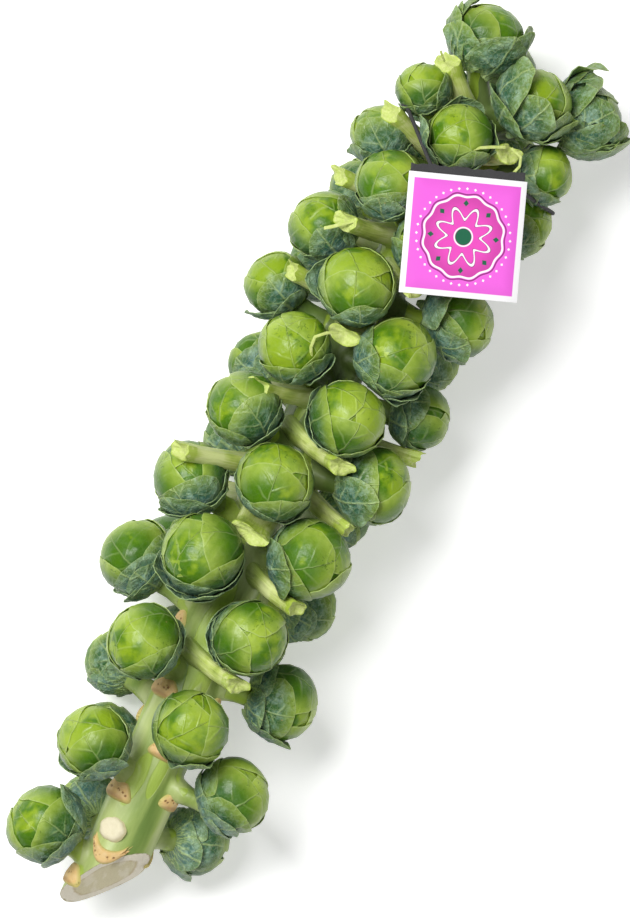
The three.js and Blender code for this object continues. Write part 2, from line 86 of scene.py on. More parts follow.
def draw(index: int, use: float) -> float:
    """Gives a number from 0 to 1 that is always the same for the same index and use.

    Args:
        index: The number of the head or leaf that it is drawn for.
        use: The number of what it is drawn for there. Each use has its own.

    Returns:
        The number.
    """
    t = math.sin(index * 12.9898 + use * 78.233) * 43758.5453
    return t - math.floor(t)


def unit(vector: Array) -> Array:
    """Gives the vector at length 1."""
    return vector / np.linalg.norm(vector)


def step(low: float, high: float, values: Array) -> Array:
    """Gives a smooth step from 0 at low to 1 at high, which may be the smaller of the two."""
    t = np.clip((np.asarray(values, float) - low) / (high - low), 0.0, 1.0)
    return t * t * (3.0 - 2.0 * t)


def outward(turn: float) -> Array:
    """Gives the way out of the stalk at a turn."""
    return np.array((0.0, -math.sin(math.radians(turn)), math.cos(math.radians(turn))))


def sideways(turn: float) -> Array:
    """Gives the way round the stalk at a turn."""
    return unit(np.cross(outward(turn), ALONG))


def polar(theta: float, azimuth: float) -> Array:
    """Gives the unit vector at a polar angle and an azimuth, both in degrees."""
    t, a = math.radians(theta), math.radians(azimuth)
    return np.array((math.sin(t) * math.cos(a), math.sin(t) * math.sin(a), math.cos(t)))


def apart_by(first: Any, second: Any) -> Any:
    """Gives how far two directions are apart, in degrees from 0 to 180."""
    return np.abs((first - second + 180.0) % 360.0 - 180.0)


def round_turn(sides: int) -> Array:
    """Gives the angles of a ring's sides, in radians."""
    return 2.0 * math.pi * np.arange(sides) / sides


def ring_of(across: Array, over: Array, sides: int) -> Array:
    """Gives a ring about 0 whose half axes are two vectors, as a point for each side."""
    angles = round_turn(sides)
    return np.cos(angles)[:, None] * across + np.sin(angles)[:, None] * over


# ------------------------------------------------------------------ modelling by hand, in code


def only(*objects: Piece) -> None:
    """Selects these objects alone and makes the first of them active.

    Args:
        objects: The objects, of which there is at least one.
    """
    bpy.ops.object.select_all(action="DESELECT")
    for one in objects:
        one.select_set(True)
    bpy.context.view_layer.objects.active = objects[0]


def added(name: str, operator: Callable[..., Any], **settings: Any) -> Piece:
    """Adds an object with nothing else selected.

    Args:
        name: The object's name.
        operator: The operator that adds it.
        settings: The operator's settings.

    Returns:
        The object.
    """
    bpy.ops.object.select_all(action="DESELECT")
    operator(**settings)
    made = bpy.context.object
    made.name = name
    return made


def editing(piece: Piece, *steps: Callable[[], Any]) -> None:
    """Runs steps on the whole mesh in edit mode.

    Args:
        piece: The mesh object.
        steps: Operator calls, run in order with everything selected at the start.
    """
    only(piece)
    bpy.ops.object.mode_set(mode="EDIT")
    bpy.ops.mesh.select_all(action="SELECT")
    for one in steps:
        one()
    bpy.ops.object.mode_set(mode="OBJECT")


def finish_with(piece: Piece, kind: str, **settings: Any) -> None:
    """Adds a modifier and applies it.

    Args:
        piece: The mesh object.
        kind: The modifier's type.
        settings: Its settings.
    """
    only(piece)
    modifier = piece.modifiers.new(kind.lower(), kind)
    for name, value in settings.items():
        setattr(modifier, name, value)
    bpy.ops.object.modifier_apply(modifier=modifier.name)


def joined(parts: Sequence[Piece], name: str) -> Piece:
    """Joins the parts into the first of them.

    Args:
        parts: The parts, of which there is at least one.
        name: The new name of the object and its mesh.

    Returns:
        The joined piece.
    """
    only(*parts)
    if len(parts) > 1:
        bpy.ops.object.join()
    parts[0].name = name
    parts[0].data.name = name
    return parts[0]


def copy_of(piece: Piece) -> Piece:
    """Copies a piece together with its mesh.

    Args:
        piece: The piece.

    Returns:
        The copy.
    """
    made = piece.copy()
    made.data = piece.data.copy()
    bpy.context.scene.collection.objects.link(made)
    return made


def points_of(piece: Piece) -> Array:
    """Reads a mesh's points as it holds them.

    Args:
        piece: The mesh object.

    Returns:
        The points, as point by axis.
    """
    flat = np.zeros(len(piece.data.vertices) * 3, np.float32)
    piece.data.vertices.foreach_get("co", flat)
    return flat.reshape(-1, 3).astype(float)


def places_of(piece: Piece) -> Array:
    """Reads a placed mesh's points as places on the stalk, in millimetres."""
    return points_of(piece) * 1000.0 + ORIGIN


def place(piece: Piece, points: Array) -> None:
    """Writes a mesh's points.

    Args:
        piece: The mesh object.
        points: Places on the stalk, in millimetres.
    """
    metres = ((points - ORIGIN) * MM).astype(np.float32)
    piece.data.vertices.foreach_set("co", metres.ravel())
    piece.data.update()


def read(piece: Piece, name: str) -> Array:
    """Reads a number at each point of a mesh.

    Args:
        piece: The mesh object.
        name: What the number is called.

    Returns:
        The numbers.
    """
    values = np.zeros(len(piece.data.vertices), np.float32)
    piece.data.attributes[name].data.foreach_get("value", values)
    return values.astype(float)


def note(piece: Piece, name: str, values: Array | float) -> None:
    """Writes a number at each point of a mesh, for its finish to read.

    Args:
        piece: The mesh object.
        name: What the number is called.
        values: The numbers, or one for all the points.
    """
    data = piece.data
    layer = data.attributes.get(name) or data.attributes.new(name, "FLOAT", "POINT")
    spread = np.broadcast_to(np.asarray(values, np.float32), (len(data.vertices),))
    layer.data.foreach_set("value", np.ascontiguousarray(spread))


def lay_out(piece: Piece, across: Array, along: Array) -> None:
    """Writes the flat layout of a mesh's points as its UV map, in tenths of a metre.

    Args:
        piece: The mesh object.
        across: Each point's place across the layout, in millimetres.
        along: Each point's place along it.
    """
    data = piece.data
    layer = data.uv_layers.get("UVMap") or data.uv_layers.new(name="UVMap")
    corners = np.zeros(len(data.loops), np.int32)
    data.loops.foreach_get("vertex_index", corners)
    flat = np.stack([across, along], 1)[corners] * 0.01
    layer.data.foreach_set("uv", flat.astype(np.float32).ravel())


def round_off(piece: Piece, angle: float = 40.0) -> None:
    """Shades a piece smooth, except across edges that turn more than the angle."""
    only(piece)
    bpy.ops.object.shade_smooth_by_angle(angle=math.radians(angle))


def sheet(name: str, across: int, along: int) -> tuple[Piece, Array, Array]:
    """Adds a flat grid.

    Args:
        name: The object's name.
        across: Faces across it.
        along: Faces along it.

    Returns:
        The grid, and each point's column and row number.
    """
    grid = added(name, bpy.ops.mesh.primitive_grid_add, x_subdivisions=across, y_subdivisions=along, size=2)
    flat = points_of(grid)
    columns = np.rint((flat[:, 0] + 1) * 0.5 * across).astype(int)
    rows = np.rint((flat[:, 1] + 1) * 0.5 * along).astype(int)
    return grid, columns, rows


def tube(name: str, rings: Array) -> tuple[Piece, Array, Array]:
    """Rolls a grid into a skin over rings of points, and closes its seam and its gathered ends.

    Args:
        name: The object's name.
        rings: Points in millimetres, as ring by side by axis.

    Returns:
        The skin, and each of its points' ring number and side number.
    """
    count, sides = rings.shape[:2]
    grid, columns, rows = sheet(name, sides, count - 1)
    place(grid, rings[rows, columns % sides])
    note(grid, "ring", rows)
    note(grid, "side", columns % sides)
    lay_out(grid, columns.astype(float), rows.astype(float))
    editing(
        grid,
        lambda: bpy.ops.mesh.remove_doubles(threshold=1e-5),
        lambda: bpy.ops.mesh.normals_make_consistent(inside=False),
    )
    return grid, read(grid, "ring"), read(grid, "side")


def cord(name: str, line: Array, aside: Array, sides: int, wide: float, high: float) -> Piece:
    """Makes a closed skin along a line.

    Args:
        name: The object's name.
        line: The line's points in millimetres.
        aside: A way that the skin's width is square to.
        sides: How many sides the skin has.
        wide: Its half width.
        high: Its half height.

    Returns:
        The skin.
    """
    rings = [np.repeat(line[:1], sides, 0)]
    for spot, way in zip(line, np.gradient(line, axis=0)):
        across = unit(np.cross(aside, way))
        rings.append(spot + ring_of(across * wide, np.cross(unit(way), across) * high, sides))
    rings.append(np.repeat(line[-1:], sides, 0))
    return tube(name, np.stack(rings))[0]


# ------------------------------------------------------------------ finishes


def srgb(red: float, green: float, blue: float) -> Colour:
    """Turns a colour as seen on a screen into the linear one that a shader takes.

    Args:
        red: Its red, from 0 to 255.
        green: Its green.
        blue: Its blue.

    Returns:
        The linear colour, from 0 to 1.
    """

    def linear(value: float) -> float:
        """Turns one of the three."""
        share = value / 255.0
        return share / 12.92 if share <= 0.04045 else ((share + 0.055) / 1.055) ** 2.4

    return (linear(red), linear(green), linear(blue))


class Value:
    """A shader socket that Python's arithmetic can be done on."""

    def __init__(self, recipe: "Recipe", socket: bpy.types.NodeSocket) -> None:
        """Keeps the socket and the recipe that its nodes go into."""
        self.recipe = recipe
        self.socket = socket

    def __add__(self, other: Any) -> "Value":
        """Adds."""
        return self.recipe.sum("ADD", self, other)

    def __sub__(self, other: Any) -> "Value":
        """Takes away."""
        return self.recipe.sum("SUBTRACT", self, other)

    def __rsub__(self, other: Any) -> "Value":
        """Is taken away."""
        return self.recipe.sum("SUBTRACT", other, self)

    def __mul__(self, other: Any) -> "Value":
        """Multiplies."""
        return self.recipe.sum("MULTIPLY", self, other)

    def __truediv__(self, other: Any) -> "Value":
        """Divides."""
        return self.recipe.sum("DIVIDE", self, other)

    def __abs__(self) -> "Value":
        """Drops the sign."""
        return self.recipe.sum("ABSOLUTE", self)

    __radd__ = __add__
    __rmul__ = __mul__

    def above(self, low: float, high: float) -> "Value":
        """Gives a smooth step from 0 at low to 1 at high."""
        return self.recipe.ramped(self, low, high)

    def below(self, low: float, high: float) -> "Value":
        """Gives a smooth step from 1 at low to 0 at high."""
        return 1.0 - self.recipe.ramped(self, low, high)


class Recipe:
    """One procedural material, while its nodes are laid."""

    def __init__(self, name: str) -> None:
        """Starts an empty material.

        Args:
            name: Its name.
        """
        self.material = bpy.data.materials.new(name)
        self.material.use_nodes = True
        self.material.node_tree.nodes.clear()

    def node(self, kind: str, settings: dict[str, Any], sockets: dict[Any, Any]) -> bpy.types.Node:
        """Adds a node.

        Args:
            kind: The node's type.
            settings: Its properties, and the stops of a ramp as place and colour.
            sockets: What each input holds, as a value or as a link.

        Returns:
            The node.
        """
        tree = self.material.node_tree
        made = tree.nodes.new(kind)
        for name, value in settings.items():
            if name != "stops":
                setattr(made, name, value)
        stops = settings.get("stops", ())
        elements = made.color_ramp.elements if stops else ()
        for number, (where, colour) in enumerate(stops):
            element = elements[number] if number < len(elements) else elements.new(where)
            element.position = where
            element.color = (*colour, 1.0)
        for key, value in sockets.items():
            if isinstance(value, Value):
                tree.links.new(value.socket, made.inputs[key])
            elif isinstance(value, tuple) and len(value) == 3 and made.inputs[key].type == "RGBA":
                made.inputs[key].default_value = (*value, 1.0)
            else:
                made.inputs[key].default_value = value
        return made

    def out(self, made: bpy.types.Node, key: Any = 0) -> Value:
        """Gives a node's output as a value."""
        return Value(self, made.outputs[key])

    def sum(self, operation: str, *terms: Any) -> Value:
        """Adds a Math node on values and numbers."""
        settings = {"operation": operation}
        return self.out(self.node("ShaderNodeMath", settings, dict(enumerate(terms))))

    def ramped(self, value: Value, low: float, high: float) -> Value:
        """Gives a smooth step from 0 where the value is low to 1 where it is high."""
        sockets = {0: value, 1: low, 2: high, 3: 0.0, 4: 1.0}
        return self.out(self.node("ShaderNodeMapRange", {"interpolation_type": "SMOOTHSTEP"}, sockets))

    def here(self) -> Value:
        """Gives the place on the object, in metres."""
        return self.out(self.node("ShaderNodeTexCoord", {}, {}), "Object")

    def layout(self) -> Value:
        """Gives the place on the piece's own flat layout, in millimetres."""
        uv = self.out(self.node("ShaderNodeUVMap", {"uv_map": "UVMap"}, {}))
        return self.scaled(uv, (100.0, 100.0, 1.0))

    def scaled(self, vector: Value, factors: Colour) -> Value:
        """Multiplies a vector part by part."""
        settings = {"operation": "MULTIPLY"}
        return self.out(self.node("ShaderNodeVectorMath", settings, {0: vector, 1: factors}))

    def parts(self, vector: Value) -> tuple[Value, Value, Value]:
        """Splits a vector into its three numbers."""
        split = self.node("ShaderNodeSeparateXYZ", {}, {0: vector})
        return self.out(split, 0), self.out(split, 1), self.out(split, 2)

    def noted(self, name: str) -> Value:
        """Gives a number that the mesh holds at its points."""
        made = self.node("ShaderNodeAttribute", {"attribute_name": name}, {})
        return self.out(made, "Fac")

    def noise(self, place_: Value, size: float, detail: float = 2.0, twist: float = 0.0) -> Value:
        """Gives cloudy noise from 0 to 1.

        Args:
            place_: Where it is read, in metres or millimetres.
            size: The size of its clouds, in the same unit.
            detail: How many finer layers it has.
            twist: How much it is distorted.

        Returns:
            The noise.
        """
        sockets = {"Vector": place_, "Scale": 1.0 / size, "Detail": detail, "Distortion": twist}
        return self.out(self.node("ShaderNodeTexNoise", {}, sockets))

    def cells(self, place_: Value, size: float, kind: str = "F1") -> Value:
        """Gives the distance to the nearest cell's middle, or with DISTANCE_TO_EDGE to its edge."""
        sockets = {"Vector": place_, "Scale": 1.0 / size}
        return self.out(self.node("ShaderNodeTexVoronoi", {"feature": kind}, sockets), "Distance")

    def mix(self, share: Any, first: Any, second: Any, how: str = "MIX") -> Value:
        """Mixes two colours."""
        settings = {"data_type": "RGBA", "blend_type": how}
        return self.out(self.node("ShaderNodeMix", settings, {0: share, 6: first, 7: second}), 2)

    def ramp(self, value: Value, stops: Sequence[tuple[float, Colour]]) -> Value:
        """Turns a number into a colour."""
        return self.out(self.node("ShaderNodeValToRGB", {"stops": stops}, {0: value}))

    def done(
        self, colour: Any, rough: Any, height: Value | None = None, depth: float = 0.0002, **constant: Any
    ) -> bpy.types.Material:
        """Finishes the material with one shader.

        Args:
            colour: Its colour.
            rough: Its roughness.
            height: The height of its relief, from 0 to 1.
            depth: How high 1 stands, in metres.
            constant: Other inputs of the shader that are the same all over.

        Returns:
            The material.
        """
        sockets: dict[Any, Any] = {"Base Color": colour, "Roughness": rough}
        sockets.update({name.replace("_", " "): value for name, value in constant.items()})
        if height is not None:
            bump = self.node("ShaderNodeBump", {}, {"Strength": 1.0, "Distance": depth, "Height": height})
            sockets["Normal"] = self.out(bump)
        shader = self.node("ShaderNodeBsdfPrincipled", {}, sockets)
        self.node("ShaderNodeOutputMaterial", {}, {0: self.out(shader)})
        return self.material


@dataclass(frozen=True)
class LeafFinish:
    """The waxy skin of a sprout's leaves, from its yellow-green cap to its blue-green base, darkened towards
    the neck by painted shade as well.
    """

    name: str
    cap: Colour = srgb(130, 158, 28)
    lit: Colour = srgb(72, 114, 4)
    mid: Colour = srgb(56, 96, 14)
    deep: Colour = srgb(54, 92, 50)
    base: Colour = srgb(62, 100, 94)
    pale: Colour = srgb(168, 190, 76)
    vein: Colour = srgb(184, 204, 132)
    margin: Colour = srgb(176, 196, 124)
    bloom: Colour = srgb(158, 188, 166)
    speck: Colour = srgb(150, 140, 84)
    scratch: Colour = srgb(44, 80, 14)
    darker: float = 0.0

    def material(self) -> bpy.types.Material:
        """Lays the leaf's nodes: veins on its layout, and colour by its layer, its margin and the painted
        shade towards the neck that its tone carries.

        Returns:
            The material.
        """
        r = Recipe(self.name)
        here = r.here()
        tone, edge = r.noted("tone"), r.noted("edge")
        cloud = r.noise(here, 0.011, 2.0)
        patch = r.noise(here, 0.0045, 3.0)
        grain = r.noise(here, 0.0011, 2.0)
        across, along, _ = r.parts(r.layout())
        bend = r.noise(here, 0.007, 1.0) - 0.5
        x = across + bend * 1.6
        y = along + bend * 2.4
        off = abs(x)
        width = 1.25 - 0.018 * along
        rib = (off / width).below(0.1, 1.0)
        way = y - off * 0.7 + off * off * 0.018 + r.sum("SIGN", x) * 1.7
        side = r.sum("PINGPONG", way, 4.6)
        fade = off.below(2.0, 15.0)
        branch = side.below(0.0, 1.15) * (0.15 + 0.85 * fade) * r.noise(here, 0.008, 1.0).above(0.3, 0.6)
        fan = r.sum("PINGPONG", r.sum("ARCTAN2", x, y + 2.0) * 4.2 + bend, 0.5).below(0.04, 0.26)
        old = tone.above(0.3, 0.8)
        root = y.below(1.0, 14.0) * old
        net = r.cells(here, 0.0028, "DISTANCE_TO_EDGE").below(0.01, 0.09)
        veins = r.sum("MAXIMUM", rib, branch * 0.75)
        # The tone holds each leaf's layer and also painted shade towards the head's neck.
        level = tone + (cloud - 0.5) * 0.55 + (patch - 0.5) * 0.22 + self.darker
        colour = r.ramp(
            level,
            ((0.0, self.cap), (0.1, self.lit), (0.34, self.mid), (0.62, self.deep), (0.9, self.base)),
        )
        pale = edge.above(0.45, 1.0) * (1.0 - old * 0.55) * 0.8
        colour = r.mix(pale * (0.3 + patch * 0.9), colour, self.pale)
        flecks = r.noise(here, 0.0016, 3.0).above(0.5, 0.66)
        fog = (patch.above(0.46, 0.68) * 0.7 + flecks * 0.45) * (0.03 + 0.5 * old)
        colour = r.mix(fog, colour, self.bloom)
        colour = r.mix(net * (0.03 + 0.14 * old), colour, self.vein)
        colour = r.mix(veins * (0.26 + 0.16 * old), colour, self.vein)
        colour = r.mix(root * (0.2 + 0.55 * fan), colour, self.vein)
        nick = r.noise(here, 0.0022, 2.0, 1.5).above(0.6, 0.68) * r.noise(here, 0.015, 1.0).above(0.56, 0.62)
        colour = r.mix(nick * 0.6, colour, self.scratch)
        rim = edge.above(0.965, 0.998)
        colour = r.mix(rim * (0.45 - 0.15 * old), colour, self.margin)
        pits = r.cells(here, 0.0052).below(0.05, 0.13) * r.noise(here, 0.017, 1.0).above(0.56, 0.64)
        colour = r.mix(pits * 0.6, colour, self.speck)
        rough = 0.34 + fog * 0.5 + (grain - 0.5) * 0.12
        height = veins * 0.3 + net * 0.18 * old + cloud * 0.8 + patch * (0.4 + 0.9 * old) + grain * 0.06
        return r.done(colour, rough, height, 0.0011, Specular_IOR_Level=0.3)


@dataclass(frozen=True)
class StemFinish:
    """The smooth pale skin of the stalk and the necks, streaked along its length, with painted shade towards
    the crown where the heads crowd over it.
    """

    name: str = "stalk_skin"
    pale: Colour = srgb(171, 184, 119)
    green: Colour = srgb(138, 158, 81)
    shade: Colour = srgb(104, 130, 58)
    yellow: Colour = srgb(150, 176, 48)
    # Painted shade: the dark green that the stalk and necks take towards the crown, standing in for the
    # shadow between the heads.
    painted_gap_shade: Colour = srgb(66, 90, 34)

    def material(self) -> bpy.types.Material:
        """Lays the skin's nodes, with streaks drawn out along the stalk and painted shade darkening it
        towards the crown.

        Returns:
            The material.
        """
        r = Recipe(self.name)
        here = r.here()
        drawn = r.scaled(here, (0.2, 1.0, 1.0))
        streak = r.noise(drawn, 0.0028, 3.0)
        cloud = r.noise(drawn, 0.014, 1.0)
        fine = r.noise(drawn, 0.0007, 2.0)
        trace = r.noted("trace")
        colour = r.ramp(
            streak * 0.22 + cloud * 0.7 + trace * 0.16,
            ((0.30, self.shade), (0.46, self.green), (0.66, self.pale), (0.9, self.pale)),
        )
        # Painted shade: the stalk and necks darken towards the crown, where they lie in the shadow between
        # the heads.
        crown_shade_share = r.parts(here)[0].above(-0.11, 0.03)
        colour = r.mix(crown_shade_share * 0.8, colour, self.painted_gap_shade)
        lens = r.noise(drawn, 0.0085, 0.0).above(0.585, 0.615)
        colour = r.mix(lens * 0.62, colour, self.yellow)
        rough = 0.42 + (fine - 0.5) * 0.12
        return r.done(colour, rough, streak * 0.3 + fine * 0.15 - lens * 0.4, 0.0005, Specular_IOR_Level=0.4)


@dataclass(frozen=True)
class CutFinish:
    """The stalk's cut end: a thin tan rim, a pale woody ring, and an olive pith."""

    name: str = "stalk_cut"
    rim: Colour = srgb(164, 150, 96)
    wood: Colour = srgb(232, 224, 204)
    line: Colour = srgb(196, 180, 138)
    pith: Colour = srgb(212, 202, 164)

    def material(self) -> bpy.types.Material:
        """Lays rings by the distance from the rim, and sawn fibres across them.

        Returns:
            The material.
        """
        r = Recipe(self.name)
        here = r.here()
        deep = r.noted("from_rim") + (r.noise(here, 0.004) - 0.5) * 2.2
        fibre = r.noise(r.scaled(here, (1.0, 1.0, 0.12)), 0.0006, 2.0)
        smear = r.noise(r.scaled(here, (0.4, 1.0, 0.25)), 0.004, 2.0)
        colour = r.ramp(
            deep / 14.0,
            (
                (0.0, self.rim),
                (0.04, self.wood),
                (0.3, self.wood),
                (0.36, self.line),
                (0.42, self.pith),
                (1.0, self.pith),
            ),
        )
        colour = r.mix(smear.above(0.5, 0.62) * 0.45, colour, self.wood)
        colour = r.mix((fibre - 0.35) * 0.4, colour, self.rim, "MULTIPLY")
        return r.done(colour, 0.7, fibre + smear * 2.0, 0.0003)


@dataclass(frozen=True)
class LeafStemFinish:
    """A cut leaf stem: yellow-green and ribbed along, with a pale wet cut end."""

    name: str = "leaf_stem_skin"
    pale: Colour = srgb(216, 224, 152)
    green: Colour = srgb(184, 200, 100)
    shade: Colour = srgb(132, 156, 58)
    torn: Colour = srgb(212, 216, 152)
    bright: Colour = srgb(162, 188, 48)
    # Painted shade: the dark olive that the stem takes near its root, where it meets the stalk under the
    # heads.
    painted_root_shade: Colour = srgb(112, 134, 62)

    def material(self) -> bpy.types.Material:
        """Lays ribs along the stem, painted shade at its root on the stalk, a bright zone below its end, and
        the torn end itself.

        Returns:
            The material.
        """
        r = Recipe(self.name)
        here = r.here()
        rounds, along, _ = r.parts(r.layout())
        spot = r.out(r.node("ShaderNodeCombineXYZ", {}, {0: rounds * 1.3, 1: along * 0.06, 2: 0.0}))
        rib = r.noise(spot, 0.8, 3.0)
        cloud = r.noise(here, 0.012, 2.0)
        cut = r.noted("cut")
        near = r.noted("near_end")
        colour = r.ramp(rib * 0.4 + cloud * 0.7, ((0.32, self.shade), (0.48, self.green), (0.64, self.pale)))
        # Painted shade: the stem darkens near its root, where it meets the stalk under the heads.
        colour = r.mix(r.noted("near_root") * 0.75, colour, self.painted_root_shade)
        skin = near.above(0.35, 0.6) * r.noise(here, 0.003, 3.0).above(0.38, 0.5)
        colour = r.mix(skin * 0.7, colour, self.bright)
        flesh = r.mix(r.noise(here, 0.0018, 3.0), self.bright, self.torn)
        colour = r.mix(cut.above(0.3, 0.7), colour, flesh)
        rough = 0.42 + cut * 0.2
        return r.done(colour, rough, rib * 0.5 + r.noise(here, 0.0012) * cut * 0.8, 0.0006)


@dataclass(frozen=True)
class ScarFinish:
    """The corky pad of a fallen leaf, with the brown ends of its strands."""

    name: str
    cork: Colour = srgb(208, 166, 92)
    pale: Colour = srgb(212, 188, 142)
    brown: Colour = srgb(132, 88, 44)
    lip: Colour = srgb(182, 178, 96)

    def material(self) -> bpy.types.Material:
        """Lays the cork, a row of strand ends along its middle, and a yellow lip.

        Returns:
            The material.
        """
        r = Recipe(self.name)
        here = r.here()
        _, along, _ = r.parts(r.layout())
        edge = r.noted("edge")
        cloud = r.noise(here, 0.0025, 3.0)
        colour = r.mix(cloud, self.cork, self.pale)
        bow = along + (cloud - 0.5) * 2.4
        row = abs(bow).below(0.5, 1.6)
        ends = r.cells(here, 0.0021).below(0.18, 0.42)
        colour = r.mix(row * ends * 0.9, colour, self.brown)
        colour = r.mix((along + 2.2).below(-1.4, 0.4) * 0.5, colour, self.brown)
        colour = r.mix(edge.above(0.8, 0.97) * 0.7, colour, self.lip)
        grain = r.noise(here, 0.0008, 2.0)
        return r.done(colour, 0.7, cloud * 0.6 + grain * 0.3 - row * ends * 0.6, 0.0006)


@dataclass(frozen=True)
class CardFinish:
    """The printed card: a white border round a pink field with a plain rosette."""

    name: str = "card_print"
    field_pink: Colour = srgb(232, 98, 216)
    deep_pink: Colour = srgb(226, 74, 184)
    wine: Colour = srgb(120, 22, 92)
    green: Colour = srgb(14, 96, 66)
    white: Colour = srgb(240, 239, 240)

    def material(self) -> bpy.types.Material:
        """Lays the border, the field, and a generic rosette of rings, dots, petals and leaves.

        Returns:
            The material.
        """
        r = Recipe(self.name)
        x, y, _ = r.parts(r.layout())
        out = r.sum("SQRT", x * x + y * y)
        far = r.sum("MAXIMUM", abs(x), abs(y))
        angle = r.sum("ARCTAN2", y, x)
        petal = r.sum("COSINE", angle * 12.0)
        wavy = out + petal * 0.55
        disc = wavy.below(19.6, 19.9)
        ring = abs(wavy - 20.2).below(0.4, 0.62)
        trim = abs(wavy - 21.4).below(0.25, 0.5)
        dots = (abs(out - 23.8) + abs(r.sum("SINE", angle * 18.0)) * 1.4).below(0.6, 0.9)
        inner = abs(out - 11.6 + r.sum("COSINE", angle * 8.0) * 3.0)
        leaves = (abs(out - 16.6) + abs(r.sum("SINE", angle * 4.0)) * 5.0).below(1.5, 1.8)
        hub = out.below(4.0, 4.25)
        pink = r.mix(disc, self.field_pink, self.deep_pink)
        pink = r.mix(disc * (out / 20.0).above(0.5, 1.05) * 0.32, pink, self.wine)
        pink = r.mix(far.above(20.0, 28.0) * 0.10, pink, self.wine)
        pink = r.mix(r.sum("MAXIMUM", trim, inner.below(1.0, 1.2)) * 0.85, pink, self.wine)
        pink = r.mix(r.sum("MAXIMUM", leaves, hub), pink, self.green)
        lines = r.sum("MAXIMUM", r.sum("MAXIMUM", ring, dots), inner.below(0.6, 0.8))
        lines = r.sum("MAXIMUM", lines, abs(out - 4.6).below(0.25, 0.45))
        pink = r.mix(lines, pink, self.white)
        colour = r.mix(far.above(27.0, 27.25), pink, self.white)
        paper = r.noise(r.here(), 0.0006, 2.0)
        return r.done(colour, 0.42, paper, 0.00003)


@dataclass(frozen=True)
class BlackFinish:
    """Black card or elastic, with a fine grain along it."""

    name: str
    black: Colour = srgb(42, 42, 44)
    worn: Colour = srgb(70, 69, 70)
    grain: float = 0.0006
    depth: float = 0.0003

    def material(self) -> bpy.types.Material:
        """Lays a grain that shows as small lighter threads.

        Returns:
            The material.
        """
        r = Recipe(self.name)
        here = r.here()
        thread = r.noise(here, self.grain, 2.0)
        wear = r.noise(here, 0.006, 2.0)
        colour = r.mix(thread * 0.5 + wear * 0.35, self.black, self.worn)
        return r.done(colour, 0.8, thread, self.depth)


# ------------------------------------------------------------------ the stalk's line and its heads


@dataclass(frozen=True)
class Line:
    """The stalk's own line and thickness, which everything on it is placed by."""

    start: float = -34.0
    end: float = 424.0
    height: float = 57.0
    bow: float = 10.0
    reach: float = 440.0
    butt_radius: float = 16.2
    crown_radius: float = 9.5

    def at(self, station: float) -> Array:
        """Gives the point on the stalk's axis at a station."""
        along = min(max(station / self.reach, 0.0), 1.0)
        return np.array((station, self.bow * math.sin(math.pi * along), self.height))

    def radius(self, station: float) -> float:
        """Gives the stalk's radius at a station."""
        along = min(max(station / self.end, 0.0), 1.0)
        return self.butt_radius + (self.crown_radius - self.butt_radius) * along * along


LINE = Line()

# Heads that left the spiral's place as they grew: station, turn, size across, and for some
# their reach from the stalk's axis and their lean towards the crown.
GROWN: dict[int, tuple[float, ...]] = {
    0: (3, -72, 39),
    1: (18, -150, 36),
    4: (26, 130, 35),
    7: (58, 68, 38, 46, 44),
    8: (52, -45, 37),
    9: (77, 178, 35),
    10: (80, 13, 38),
    11: (91, -128, 34),
    13: (108, -38, 38),
    15: (110, 90, 38),
    16: (143, -90, 39),
    18: (133, 23, 38),
    20: (156, 128, 34),
    21: (160, -24, 41),
    23: (181, 40, 41),
    24: (191, -60, 38),
    25: (206, 136, 33),
    26: (208, -3, 39),
    27: (217, -142, 35),
    28: (228, 62, 39),
    29: (234, -42, 37),
    31: (252, 19, 38),
    32: (258, -129, 33),
    33: (269, 90, 33),
    34: (272, -31, 36),
    36: (290, 28, 40),
    37: (297, -80, 33),
    38: (298, 126, 33),
    39: (313, -14, 39),
    41: (320, 65, 36),
    42: (333, -65, 35),
    44: (348, 13, 36),
    45: (360, -134, 33),
    46: (381, 90, 34),
    47: (367, -30, 35),
    49: (403, 72, 30),
    50: (385, -58, 30),
    52: (402, -5, 33),
    53: (421, -146, 33),
    54: (440, 82, 37, 47, 50),
    55: (416, -48, 27, 43, 44),
    57: (434, 34, 36, 36, 52),
    60: (453, -40, 37, 25, 76),
}

# How much older, and so darker, the leaves of the heads at the top are.
OLD: dict[int, float] = {54: 0.7, 57: -0.05, 60: 0.1}

